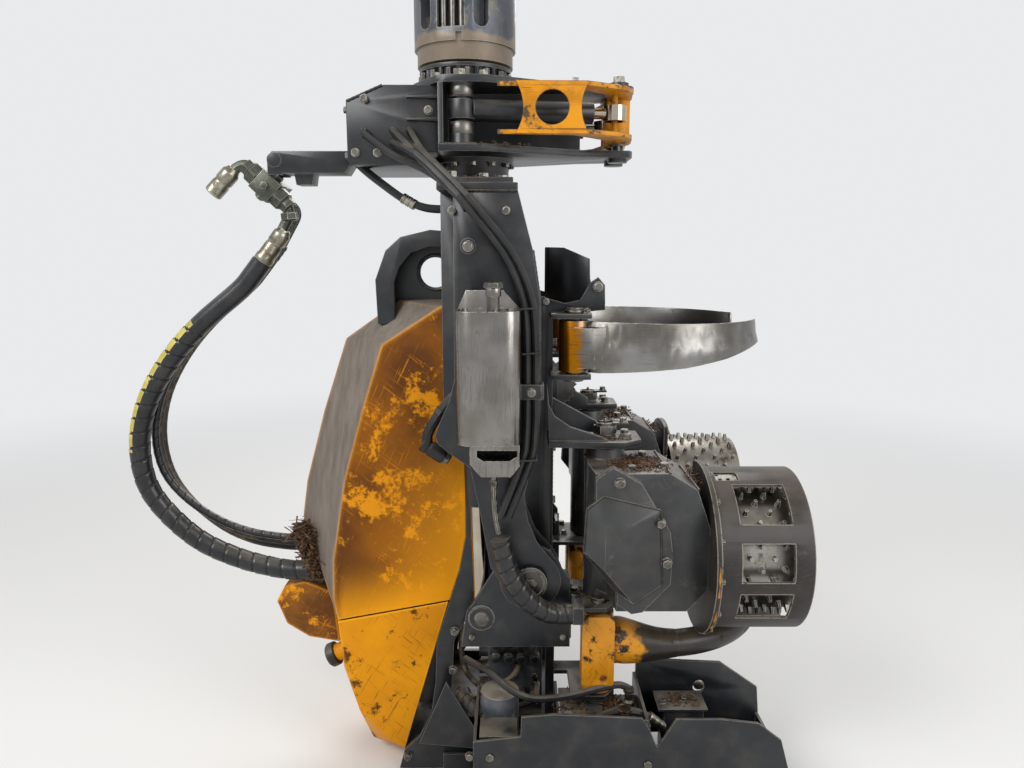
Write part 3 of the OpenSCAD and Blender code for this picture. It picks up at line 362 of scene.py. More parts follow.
# dark rippled bead
seam = surface("weld bead", "#24241f", "#33312d", "#5b554c", patch=18, patch_at=(0.55, 0.75), scratch=3,
               edge=0.3, dust="#857c6d", dusty=0.35, roughness=(0.4, 0.6), metal=(0.3, 0.6), bump=0.3)
print("metals mixed")

# %% [markdown]
# ## Rubber, plastic and litter
# Hoses are black rubber or wear a smooth plastic wrap, and dust turns the thin ones brown. A table at the
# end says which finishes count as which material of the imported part.

# %% Rubber, chips and bark dust
# black rubber, matt with dust
rubber = surface("hose rubber", "#101113", "#18191b", "#2d2b28", patch=40, patch_at=(0.6, 0.8), scratch=2,
                 edge=0.2, dust="#7d7466", dusty=0.28, roughness=(0.42, 0.62), bump=0.3, bump_mm=1.8,
                 edge_tint="#2d2b28")
# smoother plastic, so that the turns catch the light
wrap = surface("hose wrap", "#121317", "#1c1e22", "#33322f", patch=50, patch_at=(0.62, 0.8), scratch=2,
               edge=0.0, dust="#7f7768", dusty=0.3, roughness=(0.3, 0.52), bump=0.15, edge_tint="#1c1e22",
               edge_mm=2)
# the shadow between two turns
gap = surface("painted shadow between the turns", "#050505", "#080808", "#141210", patch=30, patch_at=(0.62, 0.8),
              edge=0.0, dust="#4b443a", dusty=0.15, roughness=(0.7, 0.85), bump=0.1, edge_tint="#050505")
# thin hoses that have turned brown
dirty = surface("dusty thin hose", "#2e2822", "#1f1c19", "#6d5f4d", patch=30, patch_at=(0.48, 0.66),
                scratch=3, edge=0.2, dust="#8f7f68", dusty=0.5, roughness=(0.5, 0.7), bump=0.3)
# pale yellow strip on the outside of the bend
tracer = surface("yellow tracer strip", "#c9b95a", "#b3a244", "#3a3832", patch=25, patch_at=(0.58, 0.7),
                 scratch=2, edge=0.2, dust="#8f876c", dusty=0.15, roughness=(0.45, 0.6), bump=0.15)
# red-brown chips, pale where they broke
bark = surface("needles and bark chips", "#4a2e1d", "#2f2018", "#7d5c3c", patch=12, patch_at=(0.5, 0.6),
               scratch=2, edge=0.2, dust="#6b573f", dusty=0.2, roughness=(0.7, 0.85), bump=0.3)
FINISH = {"black_paint": black, "yellow_paint": yellow, "cast": cast, "steel": steel, "stainless": stainless,
          "chrome": chrome, "rubber": rubber}
print(len(bpy.data.materials), "finishes")

# %% [markdown]
# ## Smooth lines
# A hose follows a smooth line through given points. Blender's own curves could smooth it, but their
# handles give another line than the CAD source does. The same rule as there, a Catmull-Rom curve, was
# chosen, so a dressed hose lies where its plain solid lies.


# %% Lines, pipes and hoses
def smooth(points, steps):
    """Points on a Catmull-Rom curve through the given ones, all in millimetres."""
    line = []
    last = len(points) - 1
    for i in range(last):
        a, b, c, d = (Vector(points[min(max(j, 0), last)]) for j in (i - 1, i, i + 1, i + 2))
        for k in range(steps):
            t = k / steps
            line.append(0.5 * (2 * b + (c - a) * t + (2 * a - 5 * b + 4 * c - d) * t * t
                               + (3 * b - a - 3 * c + d) * t ** 3))
    line.append(Vector(points[last]))
    return line


def length_of(line):
    """The length along a line, in its own unit."""
    return sum((b - a).length for a, b in zip(line, line[1:]))


def evenly(line, step):
    """The same line with points a set distance apart."""
    count = max(2, round(length_of(line) / step))
    gap = length_of(line) / count
    out, need, here = [line[0].copy()], gap, 0.0
    for a, b in zip(line, line[1:]):
        piece = (b - a).length
        while here + piece >= need - 1e-6 and len(out) < count:
            out.append(a.lerp(b, (need - here) / piece))
            need += gap
        here += piece
    out.append(line[-1].copy())
    return out


def drawn(name, points, faces, edges=()):
    """A new mesh from points in metres, left as the one active object."""
    mesh = bpy.data.meshes.new(name)
    mesh.from_pydata(points, edges, faces)
    part = bpy.data.objects.new(name, mesh)
    bpy.context.collection.objects.link(part)
    clear()
    part.select_set(True)
    bpy.context.view_layer.objects.active = part
    return part


def face_out(part):
    """Turns the faces of the active part outwards."""
    bpy.ops.object.mode_set(mode="EDIT")
    bpy.ops.mesh.select_all(action="SELECT")
    bpy.ops.mesh.normals_make_consistent(inside=False)
    bpy.ops.object.mode_set(mode="OBJECT")
    return part


def finished(piece, name, finish, body, smooth_angle=35):
    """Names a piece, puts it at the origin, gives it its finish and the body that it moves with."""
    clear()
    piece.select_set(True)
    bpy.context.view_layer.objects.active = piece
    bpy.ops.object.transform_apply(location=True, rotation=True, scale=True)
    bpy.ops.object.shade_smooth_by_angle(angle=math.radians(smooth_angle))
    piece.name = name
    if finish:
        piece.data.materials.clear()
        piece.data.materials.append(finish)
    if body:
        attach(piece, body)
    return piece


def pipe_part(points, radius, steps=5, sides=2, closed=False):
    """A round tube along a smooth line, with the ends closed. radius may be one value or one a point."""
    line = [Vector(p) for p in points] if steps == 1 else smooth(points, steps)
    curve = bpy.data.curves.new("pipe", "CURVE")
    curve.dimensions = "3D"
    curve.bevel_depth = MM
    curve.bevel_resolution = sides
    curve.use_fill_caps = not closed
    spline = curve.splines.new("POLY")
    spline.points.add(len(line) - 1)
    for i, (knot, place) in enumerate(zip(spline.points, line)):
        knot.co = (*at(*place), 1)
        knot.radius = radius(i) if callable(radius) else radius
    spline.use_cyclic_u = closed
    clear()
    part = bpy.data.objects.new("pipe", curve)
    bpy.context.collection.objects.link(part)
    part.select_set(True)
    bpy.context.view_layer.objects.active = part
    bpy.ops.object.convert(target="MESH")
    return bpy.context.object


def joined(parts):
    """Several parts as one mesh."""
    clear()
    for part in parts:
        part.select_set(True)
    bpy.context.view_layer.objects.active = parts[0]
    if len(parts) > 1:
        bpy.ops.object.join()
    return parts[0]


# %% [markdown]
# ## Wrapped hoses
# The big hose and the one over the tilt pivot wear a flat plastic spiral. It could be drawn in the
# material alone, but its turns also step the hose's outline, which shows against a pale wall. So the hose
# is a tube of closely spaced rings, and each ring's radius climbs a little over a turn of the spiral and
# drops at its edge. The faces on the outside of the bend can take a second finish, the tracer strip.


# %% A tube whose skin is a spiral wrap
def wrapped_hose(line, radius, pitch, first=0.0, strip=None, sides=20, up=(0, 1, 0)):
    """The wrap starts at the share first of the length. strip = (from share, to share, angle, half width)."""
    line = evenly(line, pitch / 10)
    last = len(line) - 1
    rings, faces, marks = [], [], []
    up = Vector(up)
    for i, middle in enumerate(line):
        t = (line[min(i + 1, last)] - line[max(i - 1, 0)]).normalized()
        s = (up - up.dot(t) * t).normalized()
        b = t.cross(s)
        for k in range(sides):
            angle = 2 * math.pi * k / sides
            turn = (i / 10 - k / sides) % 1
            grown = 1.0 if i / last < first else (0.93 if turn > 0.88 else 1.045 - 0.05 * turn)
            rings.append(at(*(middle + radius * grown * (math.cos(angle) * s + math.sin(angle) * b))))
    for i in range(last):
        for k in range(sides):
            n = (k + 1) % sides
            faces.append((i * sides + k, i * sides + n, (i + 1) * sides + n, (i + 1) * sides + k))
            share, turn = i / last, (i / 10 - k / sides) % 1
            beside = math.degrees(2 * math.pi * (k + 0.5) / sides) - (strip[2] if strip else 0)
            off = abs((beside + 180) % 360 - 180)
            # faces at each turn's edge take the near-black finish, a painted shadow in the groove
            if turn > 0.82 and share > first:
                marks.append(1)
            else:
                marks.append(2 if strip and strip[0] < share < strip[1] and off < strip[3] else 0)
    faces += [tuple(reversed(range(sides))), tuple(range(last * sides, (last + 1) * sides))]
    part = drawn("wrapped", rings, faces)
    for finish in (wrap, gap, tracer):
        part.data.materials.append(finish)
    part.data.polygons.foreach_set("material_index", marks + [0, 0])
    return face_out(part)


# %% [markdown]
# ## The loop of hoses
# Four hoses hang in a loop from the coupling block to the hood's back. The big one is plain near its
# ferrule and wrapped below it, and three thin ones run behind it and fan out above it at the hood. A cloth
# or rope simulation could hang them. They are drawn along the line seen in the photograph instead, because
# stiff hoses with both ends held keep that line.

# %% The hoses of the loop
SUPPLY_Y = -100
BIG_XZ = [(-588, 1556), (-619, 1517), (-657, 1475), (-781, 1373), (-877, 1269), (-951, 1149),
          (-986, 1026), (-978, 901), (-927, 806), (-827, 709), (-707, 650), (-600, 620), (-540, 612),
          (-510, 612), (-480, 612)]
BIG = [(x, SUPPLY_Y, z) for x, z in BIG_XZ]
# x and z, and the share of the fan that spreads the thin hoses at the hood
THIN = [(-588, 1556, 0), (-619, 1517, 0), (-655, 1478, 0), (-775, 1376, 0), (-865, 1272, 0), (-932, 1152, 0),
        (-960, 1030, 0.1), (-944, 918, 0.3), (-884, 832, 0.6), (-790, 762, 0.9), (-690, 720, 1),
        (-590, 702, 1), (-540, 700, 1), (-510, 700, 1), (-480, 700, 1)]
THIN_PITCH = 26
# half the big hose, half a thin one and 5 mm of air, and then one thin hose beside the other
THIN_Y = [SUPPLY_Y + 31 + 12 + 5 + THIN_PITCH * k for k in range(3)]
big_line = smooth(BIG, 4)
big = wrapped_hose(big_line, 29.5, 45, first=0.2, strip=(0.19, 0.5, 231, 34))
finished(big, "supply_hose_skin", None, None, 50)
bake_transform(big)
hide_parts("supply_hose")
[at(*p) for p in evenly(big_line, 48)]
print("supply hose", round(length_of(big_line)), "mm")
for k in range(3):
    route = [(x, THIN_Y[k], z - fan * THIN_PITCH * k) for x, z, fan in THIN]
    line = smooth(route, 4)
    if k == 0:
        thin = wrapped_hose(line, 11.5, 30, first=0.45, sides=12)
    else:
        thin = pipe_part(route, 12, steps=4)
    finished(thin, "thin_hose_%d" % (k + 1), None if k == 0 else dirty, None, 50)
    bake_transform(thin)
    if k == 0:
        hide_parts("pilot_hoses")
    [at(*p) for p in evenly(line, 48)]
    print("thin hose", k + 1, round(length_of(line)), "mm")

# %% [markdown]
# ## The hose that crosses the pivot
# A short wrapped hose goes over the tilt pivot from the leg to the head. It is the same kind of tube.

# %% The wrapped hose over the tilt pivot
PIVOT = [(105, -400, 830), (128, -402, 735), (172, -400, 662), (222, -388, 618), (260, -378, 604),
         (280, -378, 604), (300, -378, 604)]
pivot_line = smooth(PIVOT, 5)
pivot = wrapped_hose(pivot_line, 27.5, 34, up=(0.3, 1, 0.1))
finished(pivot, "pivot_hose_skin", None, None, 50)
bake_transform(pivot)
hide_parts("pivot_hose")
[at(*p) for p in evenly(pivot_line, 22)]
print("pivot hose", round(length_of(pivot_line)), "mm")

# %% [markdown]
# ## Floor, backdrop and light
# A pale floor gives plain studio light. Three large soft lamps light the head: a key from the upper left,
# a weaker fill from the right and one from behind. The floor fades into the air by Light Path, so that no
# horizon cuts through the picture, and only its shadow stays.

# %% Floor
FLOOR = -PIN_HEIGHT * MM - 0.002
clear()
bpy.ops.mesh.primitive_plane_add(size=60, location=(0, 0, FLOOR))
floor = bpy.context.object
floor.name = "studio_floor"
bpy.ops.object.mode_set(mode="EDIT")
bpy.ops.mesh.select_all(action="SELECT")
bpy.ops.mesh.subdivide(number_cuts=1)
bpy.ops.object.mode_set(mode="OBJECT")
print("floor at", FLOOR, "m")


# %% Lamps and world
def lamp(name, place, aim, size, watts):
    """A square soft lamp at a place in metres, turned to its aim."""
    clear()
    bpy.ops.object.light_add(type="AREA", location=place)
    light = bpy.context.object
    light.name = name
    light.data.size = size
    light.data.energy = watts
    light.rotation_euler = (Vector(aim) - Vector(place)).to_track_quat("-Z", "Y").to_euler()
    return light


lamp("key", (-3.2, -3.6, 2.2), (0, 0, -1.2), 2.6, 215)
lamp("fill", (3.6, -3.0, 0.6), (0.1, 0, -1.2), 2.8, 105)
lamp("back", (0.5, 3.8, 2.0), (0, 0, -1.0), 2.6, 130)
world = bpy.data.worlds.new("studio air")
bpy.context.scene.world = world
world.use_nodes = True
bpy.context.scene.view_settings.view_transform = "Standard"
AIR = "#e9eaec"
tree = world.node_tree
tree.nodes.clear()
ray = add(tree, "ShaderNodeLightPath")
direct = add(tree, "ShaderNodeMath", None, {0: ray.outputs["Is Camera Ray"], 1: ray.outputs["Is Glossy Ray"]},
             operation="MAXIMUM")
seen = add(tree, "ShaderNodeMath", None, {0: direct.outputs[0], 1: ray.outputs["Is Transmission Ray"]},
           operation="MAXIMUM")
light_air = add(tree, "ShaderNodeBackground", {"Color": ink("#f2f3f5"), "Strength": 0.5})
pale_air = add(tree, "ShaderNodeBackground", {"Color": ink(AIR), "Strength": 1.0})
air = add(tree, "ShaderNodeMixShader", None,
          {0: seen.outputs[0], 1: light_air.outputs[0], 2: pale_air.outputs[0]})
add(tree, "ShaderNodeOutputWorld", None, {"Surface": air.outputs[0]})
print("three lamps and the air")

# %% Floor material
pale = bpy.data.materials.new("pale studio floor")
pale.use_nodes = True
tree = pale.node_tree
tree.nodes.clear()
spot = add(tree, "ShaderNodeTexCoord")
reach = add(tree, "ShaderNodeVectorMath", None, {0: spot.outputs["Object"]}, operation="LENGTH")
fade = add(tree, "ShaderNodeMapRange", {"From Min": 1.6, "From Max": 7.0}, {"Value": reach.outputs["Value"]},
           interpolation_type="SMOOTHSTEP")
sheet = add(tree, "ShaderNodeBsdfPrincipled", {"Base Color": ink("#e2e1de"), "Roughness": 0.9})
glow = add(tree, "ShaderNodeEmission", {"Color": ink(AIR), "Strength": 1.0})
ground = add(tree, "ShaderNodeMixShader", None,
             {0: fade.outputs["Result"], 1: sheet.outputs[0], 2: glow.outputs[0]})
add(tree, "ShaderNodeOutputMaterial", None, {"Surface": ground.outputs[0]})
floor.data.materials.append(pale)
print("stage set")

# %% [markdown]
# ## Breaking the edges
# No welded or cast part has knife-sharp corners. A copy of each solid has its loose triangles merged, its
# flat faces joined again, and every corner over 30 degrees rounded by a small bevel. A bevel in the
# material alone would catch the light too, but it would leave the outline sharp. The copy then stands for
# the solid, which stays in the frame for collision, hidden.

# %% Copies with broken edges
NODE_BODY = {node: body for body, nodes in frame["record"]["behaviour"]["bodies"].items() for node in nodes}
SLOT = {entry["node"]: entry["material_slot"] for entry in frame["record"]["subparts"]}


def broken_edges(node, width, material, segments=2, keep_angle=30):
    """A copy of a CAD node with its corners rounded by width millimetres."""
    source = frame["nodes"][node]
    piece = bpy.data.objects.new(node + "_skin", source.data.copy())
    bpy.context.collection.objects.link(piece)
    clear()
    bpy.context.view_layer.objects.active = piece
    piece.select_set(True)
    bpy.ops.object.mode_set(mode="EDIT")
    bpy.ops.mesh.select_all(action="SELECT")
    bpy.ops.mesh.remove_doubles(threshold=0.00002)
    bpy.ops.mesh.dissolve_limited(angle_limit=math.radians(1.0))
    bpy.ops.object.mode_set(mode="OBJECT")
    bevel = piece.modifiers.new("edge", "BEVEL")
    bevel.width = width * MM
    bevel.segments = segments
    bevel.limit_method = "ANGLE"
    bevel.angle_limit = math.radians(keep_angle)
    bevel.use_clamp_overlap = True
    bpy.ops.object.modifier_apply(modifier="edge")
    finished(piece, node + "_skin", material, NODE_BODY[node])
    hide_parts(node)
    return piece


EDGES = {  # millimetres that each piece's corners are rounded by
    "rotator_casing": 3, "rotor_flange": 2, "hanger_bracket": 2, "manifold_box": 4, "hose_arm": 2,
    "tilt_crown": 3, "tilt_legs": 2, "hold_arm_near": 2, "hold_arm_far": 2, "main_frame": 2,
    "frame_ribs": 2, "arch_plates": 2, "feed_brackets": 2, "knife_brackets": 2, "rear_guard": 14,
    "arc_guard": 3, "top_knife": 2, "valve_block": 2, "saw_box": 2, "saw_motor": 3, "feed_arm_near": 5,
    "feed_arm_far": 5, "roller_guard_near": 2, "roller_guard_far": 2, "upper_knife_near": 2,
    "upper_knife_far": 2, "lower_knife_near": 4, "lower_knife_far": 4, "upper_hood": 3, "lower_hood": 3,
    "hold_barrel_near": 2, "hold_barrel_far": 2, "tilt_barrels": 2, "tank": 2, "coupling_block": 2,
    "hose_ports": 1.5, "tilt_pins": 2, "knife_pins": 2,
}
LOOK = {"rotator_casing": casing_cast, "upper_hood": hood_paint, "lower_hood": foot_paint,
        "rear_guard": rear_paint, "top_knife": black, "feed_roller_near": studs, "feed_roller_far": studs,
        "coupling_block": fitting, "hose_ports": fitting, "feed_arm_near": arm_grey, "feed_arm_far": arm_grey,
        "roller_guard_near": guard_black, "roller_guard_far": guard_black, "upper_knife_near": knife,
        "upper_knife_far": knife, "lower_knife_near": hub_paint, "lower_knife_far": hub_paint,
        "leg_hoses": rubber}
skins = {}
for node, width in EDGES.items():
    skins[node] = broken_edges(node, width, LOOK.get(node, FINISH[SLOT[node]]))
for node, thing in frame["nodes"].items():
    if node not in EDGES:
        thing.data.materials.clear()
        thing.data.materials.append(LOOK.get(node, FINISH[SLOT[node]]))
print(len(skins), "pieces with broken edges", sum(len(s.data.polygons) for s in skins.values()), "faces")

# %% [markdown]
# ## Bolts
# A hex bolt is modelled once: a six-sided prism whose top face is inset and lifted for the chamfer, on a
# round washer. Every other bolt is a copy of it, scaled to its width across flats and turned to its axis.
# The places come from the photograph, moved on to the plate that each bolt holds.


# %% The bolt and its copies
def pick(test):
    """Selects the faces in edit mode whose middle and normal pass the test, and nothing else."""
    shape = bmesh.from_edit_mesh(bpy.context.object.data)
    for part in list(shape.verts) + list(shape.edges) + list(shape.faces):
        part.select_set(False)
    chosen = [face for face in shape.faces if test(face.calc_center_median(), face.normal)]
    for face in chosen:
        face.select_set(True)
    bmesh.update_edit_mesh(bpy.context.object.data)
    return len(chosen)


clear()
bpy.ops.mesh.primitive_cylinder_add(vertices=6, radius=0.577, depth=0.5, location=(0, 0, 0.37))
bpy.ops.object.mode_set(mode="EDIT")
pick(lambda middle, normal: normal.z > 0.9)
bpy.ops.mesh.inset(thickness=0.07)
bpy.ops.transform.translate(value=(0, 0, 0.05))
bpy.ops.object.mode_set(mode="OBJECT")
bpy.ops.object.transform_apply(location=True, rotation=True, scale=True)
hex_head = bpy.context.object
clear()
bpy.ops.mesh.primitive_cylinder_add(vertices=16, radius=0.68, depth=0.12, location=(0, 0, 0.06))
bpy.ops.object.transform_apply(location=True, rotation=True, scale=True)
bolt_model = joined([hex_head, bpy.context.object])
print("bolt model", len(bolt_model.data.polygons), "faces")


def copies(model, places):
    """Copies of a model at (place in mm, axis, size in mm), joined to one part."""
    parts = []
    for place, axis, size in places:
        part = bpy.data.objects.new("copy", model.data.copy())
        bpy.context.collection.objects.link(part)
        turn = Vector(axis).to_track_quat("Z", "Y").to_matrix().to_4x4()
        part.data.transform(Matrix.Translation(at(*place)) @ turn @ Matrix.Scale(size * MM, 4))
        parts.append(part)
    return joined(parts)


NEAR, FRONT, BACK, UP, DOWN = (0, -1, 0), (1, 0, 0), (-1, 0, 0), (0, 0, 1), (0, 0, -1)
SIDES = (("near", -1), ("far", 1))
# how far from the middle plane, in millimetres, the outer faces lie that carry bolts, nuts and caps
FRAME_FACE = 205
LUG_FACE = 312
LEG_FACE = 340
ARM_FACE = 452
BOX_WALL = 472
VALVE_FACE = 110
MANIFOLD_BACK = -312  # along X
ROLLER_Y, ROLLER_Z = 280, 765  # the feed rollers' axes run along X


def two_sides(places):
    """The same places on the near and the far side."""
    return places + [((x, -y, z), (a[0], -a[1], a[2]), size) for (x, y, z), a, size in places]


# %% Bolts of the head and of the hanger
HEAD_BOLTS = two_sides([((-37, -FRAME_FACE, 464), NEAR, 20), ((-44, -FRAME_FACE, 338), NEAR, 20),
                        ((-187, -FRAME_FACE, 48), NEAR, 20), ((-86, -FRAME_FACE, 190), NEAR, 20),
                        ((250, -FRAME_FACE, 560), NEAR, 20), ((250, -FRAME_FACE, 152), NEAR, 18),
                        ((374, -FRAME_FACE, 1490), NEAR, 22), ((230, -FRAME_FACE, 1449), NEAR, 14),
                        *(((30, -FRAME_FACE, z), NEAR, 14) for z in (820, 1000, 1180, 1360)),
                        ((280, -LUG_FACE, 500), NEAR, 12), ((20, -LUG_FACE, 500), NEAR, 12),
                        ((262, -287, 1082), UP, 18), ((262, -240, 1082), UP, 18), ((452, -240, 1078), UP, 22),
                        ((452, -292, 1078), UP, 22), ((316, -328, 604), UP, 18), ((318, -234, 604), UP, 18),
                        ((338, -222, 1421), UP, 18), ((338, -272, 1421), UP, 18)])
HEAD_BOLTS += [((262, y, 580), FRONT, 18) for y in (-150, -75, 75, 150)]
HEAD_BOLTS += [((250, y, z), FRONT, 20) for y in (-160, 160) for z in (680, 860, 1020, 1330)]
finished(copies(bolt_model, HEAD_BOLTS), "head_bolts", zinc, "head")
HANGER_BOLTS = two_sides([((-5, -190, 2045), UP, 30), ((-70, -170, 2045), UP, 22), ((60, -200, 2045), UP, 22),
                          ((440, -45, 2057), UP, 30), ((22, -346, 1600), NEAR, 22),
                          ((120, -LEG_FACE, 1690), NEAR, 16), ((-20, -LEG_FACE, 1690), NEAR, 16),
                          ((60, -250, 1775), UP, 24), ((110, -190, 1775), UP, 24),
                          ((-20, -300, 1775), UP, 24)])
HANGER_BOLTS += [((MANIFOLD_BACK, y, z), BACK, 16) for y in (-165, 165, 0) for z in (1845, 1965)]
HANGER_BOLTS += [((x, -190, z), NEAR, 18)
                 for x, z in ((-230, 1850), (-90, 1960), (-262, 1990), (-290, 1850), (-120, 1850))]
HANGER_BOLTS += [((25 + 108 * math.cos(a), 108 * math.sin(a), 1836), DOWN, 16)
                 for a in (k * math.pi / 6 for k in range(12))]
finished(copies(bolt_model, HANGER_BOLTS), "hanger_bolts", zinc, "hanger")
TOP = [((122 * math.cos(a), 122 * math.sin(a), 2346), (0.6 * math.cos(a), 0.6 * math.sin(a), 0.8), 18)
       for a in (math.radians(22.5 + 45 * k) for k in range(8))]
finished(copies(bolt_model, TOP), "casing_bolts", zinc, "rotator_housing")
print("bolts", len(HEAD_BOLTS), len(HANGER_BOLTS))

# %% Bolts of the arms, rollers and holding arms
DRUM_END = 878  # the X of the rollers' outer end plates
for side, s in SIDES:
    out = (0, s, 0)
    arm = [((412, s * ARM_FACE, 1001), out, 22), ((539, s * ARM_FACE, 785), out, 22),
           ((520, s * ARM_FACE, 893), out, 20), ((500, s * 260, 1020), UP, 22),
           ((540, s * 380, 1020), UP, 22), ((450, s * 400, 1020), UP, 20)]
    finished(copies(bolt_model, arm), "arm_bolts_" + side, zinc, "feed_arm_" + side)
    circle = [(78 * math.cos(a), 78 * math.sin(a)) for a in (k * math.pi / 4 for k in range(8))]
    cap = [((DRUM_END, s * ROLLER_Y + y, ROLLER_Z + z), FRONT, 24) for y, z in circle]
    finished(copies(bolt_model, cap), "roller_bolts_" + side, zinc, "feed_roller_" + side)
    hold = [((440, s * 45, 2021), UP, 34), ((419, s * 129.4, 2021), UP, 24), ((440, s * 45, 1889), DOWN, 34),
            ((300, s * 250, 2021), UP, 16)]
    finished(copies(bolt_model, hold), "holding_arm_bolts_" + side, zinc, "hold_arm_" + side)
    blade = [((345, s * 262, 1385), UP, 22)]
    finished(copies(bolt_model, blade), "upper_knife_bolts_" + side, zinc, "upper_knife_" + side)
print("bolts on arms, rollers, holding arms and knives")

# %% [markdown]
# ## Turned pieces
# Ferrules, pin sleeves, nipples and caps are turned parts. They could be stacks of cylinders. Each starts
# as half of its outline instead, a row of radius and height pairs, and the Screw modifier sweeps it round
# its axis, because one closed skin with its grooves then comes from one row of numbers.


# %% Turning an outline
def turned(outline, place, axis, steps=24):
    """outline = (radius, height) pairs in millimetres from one end to the other."""
    pairs = [(0, outline[0][1])] + list(outline) + [(0, outline[-1][1])]
    steps_along = [(i, i + 1) for i in range(len(pairs) - 1)]
    part = drawn("turned", [(r * MM, 0, h * MM) for r, h in pairs], [], steps_along)
    screw = part.modifiers.new("turn", "SCREW")
    screw.steps = steps
    screw.render_steps = steps
    screw.use_merge_vertices = True
    screw.merge_threshold = 0.00001
    bpy.ops.object.modifier_apply(modifier="turn")
    face_out(part)
    turn = Vector(axis).to_track_quat("Z", "Y").to_matrix().to_4x4()
    part.data.transform(Matrix.Translation(at(*place)) @ turn)
    return part


# %% Ferrules, nuts and sleeves of the hanger
DOWN_LOOP = (-38, 0, -48)
OUT_LOOP = (-32, 0, -33)
crimp = [(23, 0), (24.5, 3), (24.5, 14), (23, 16), (23, 20), (24.5, 22), (24.5, 33), (23, 35), (23, 39),
         (24.5, 41), (24.5, 52), (22.5, 56)]
long_crimp = [(17, 0), (20, 8), (24.5, 14), (25.5, 18), (25.5, 46), (23.5, 49), (23.5, 55), (25.5, 58),
              (25.5, 94), (27.5, 97), (27.5, 112), (25, 116)]
open_end = [(17, 0), (20, 8), (24.5, 14), (25.5, 18), (25.5, 46), (23.5, 49), (23.5, 55), (25.5, 58),
            (25.5, 92), (23, 95), (19, 95), (19, 60)]
ferrules = [turned(long_crimp, (-516, -100, 1647), DOWN_LOOP), turned(open_end, (-652, -100, 1816), OUT_LOOP)]
finished(joined(ferrules), "loop_ferrules", ferrule, "hanger")
fittings = [turned([(20, 0), (25, 2), (25, 20), (20, 24)], (-503, -100, 1696), (0.1, 0, -1), 6),
            turned([(26, 0), (32, 3), (32, 30), (28, 33), (24, 40), (24, 52), (18, 54)], (-538, -100, 1746),
                   (0.7, 0, -0.7), 6),
            turned([(26, 0), (34, 3), (34, 26), (30, 29), (25, 34), (25, 50), (18, 52)], (-583, -100, 1791),
                   (-0.7, 0, 0.7), 6),
            turned([(15, 0), (16, 2), (16, 12), (9, 16)], (-538, -86, 1790), (0.7, 0, 0.7), 6),
            turned([(15, 0), (16, 2), (16, 12), (9, 16)], (-582, -86, 1746), (-0.7, 0, -0.7), 6),
            turned([(10, 0), (11, 2), (11, 8), (5, 9)], (-560, -130, 1768), NEAR, 6)]
for y in THIN_Y:
    fittings.append(turned([(r * 0.55, h * 0.9) for r, h in crimp], (-552, y, 1602), DOWN_LOOP, 16))
finished(joined(fittings), "loop_fittings", fitting, "hanger")
sleeves = []
for y in (-190, 190):
    sleeves += [turned([(32, 0), (33.2, 2), (33.2, 26), (32, 28)], (0, y, 1897), UP),
                turned([(32, 0), (33.2, 2), (33.2, 20), (32, 22)], (0, y, 1996), UP)]
for k in range(15):
    a = math.radians(12 + 24 * k)
    sleeves.append(turned([(7, 0), (9, 1.5), (9, 31), (6, 34)], (127 * math.cos(a), 127 * math.sin(a), 2052),
                          UP, 6))
sleeves.append(turned([(8, 0), (12, 2), (12, 18), (7, 24)], (MANIFOLD_BACK, -60, 1930), BACK, 6))
sleeves.append(turned([(8, 0), (12, 2), (12, 18), (7, 24)], (MANIFOLD_BACK, 60, 1930), BACK, 6))
finished(joined(sleeves), "pin_sleeves", steel, "hanger")
stubs = [turned([(27, 0), (29, 2), (29, 14), (26, 16)], (-478, -100, 612), FRONT)]
stubs += [turned([(12, 0), (14, 2), (14, 12), (11, 14)], (-478, THIN_Y[k], 700 - THIN_PITCH * k), FRONT, 6)
          for k in range(3)]
finished(joined(stubs), "port_nuts", fitting, "head")
print(len(fittings), "loop fittings and", len(sleeves), "sleeves")

# %% Caps, bosses and nipples of the head
caps = []
for s in (-1, 1):
    out = (0, s, 0)
    caps += [turned([(46, 0), (46, 1.5), (40, 3), (38, 3), (36, 1.5)], (186, s * 358, 684), out),
             turned([(14, 0), (16, 2), (16, 8), (12, 10)], (186, s * 358, 684), out, 6),
             turned([(36, 0), (38, 1), (38, 3.5), (30, 5), (17, 5), (17, 8), (14, 9)],
                    (48, s * LUG_FACE, 560), out),
             turned([(5, 0), (5, 6), (3, 7), (3, 10), (1.5, 11)], (396, s * 250, 1116), UP, 10),
             turned([(20, 0), (22, 2), (22, 10), (14, 13)], (380, s * 300, 610), UP, 16),
             turned([(20, 0), (22, 2), (22, 6), (14, 9)], (305, s * 255, 1430), UP, 16)]
finished(joined(caps), "pin_caps", steel, "head")
buffer = turned([(24, 0), (37, 4), (38, 12), (38, 24), (33, 30), (18, 33)], (-416, -96, 334),
                (-0.9, 0, -0.45))
finished(buffer, "rear_buffer", rubber, "head")
seat = turned([(26, 0), (27, 2), (27, 62), (24, 66)], (-362, -96, 361), (-0.9, 0, -0.45))
finished(seat, "buffer_seat", foot_paint, "head")
plug = turned([(13, 0), (16, 2), (16, 10), (10, 14)], (700, -206, 293), NEAR, 20)
finished(plug, "saw_wall_bolt", zinc, "head")
for side, s in SIDES:
    dome = turned([(74, 0), (76, 3), (70, 9), (40, 14), (38, 20), (20, 22)],
                  (DRUM_END, s * ROLLER_Y, ROLLER_Z), FRONT, 32)
    finished(dome, "roller_cap_" + side, studs, "feed_roller_" + side)
print("turned pieces made")

# %% [markdown]
# ## Welds
# Plates of a head are joined by fat hand-made beads. A bump in the paint could hint at them, but a bead
# fills its corner and casts a shadow. So a bead is a tube along the joint whose radius swells and shrinks
# every few millimetres, as the welder's hand pauses.


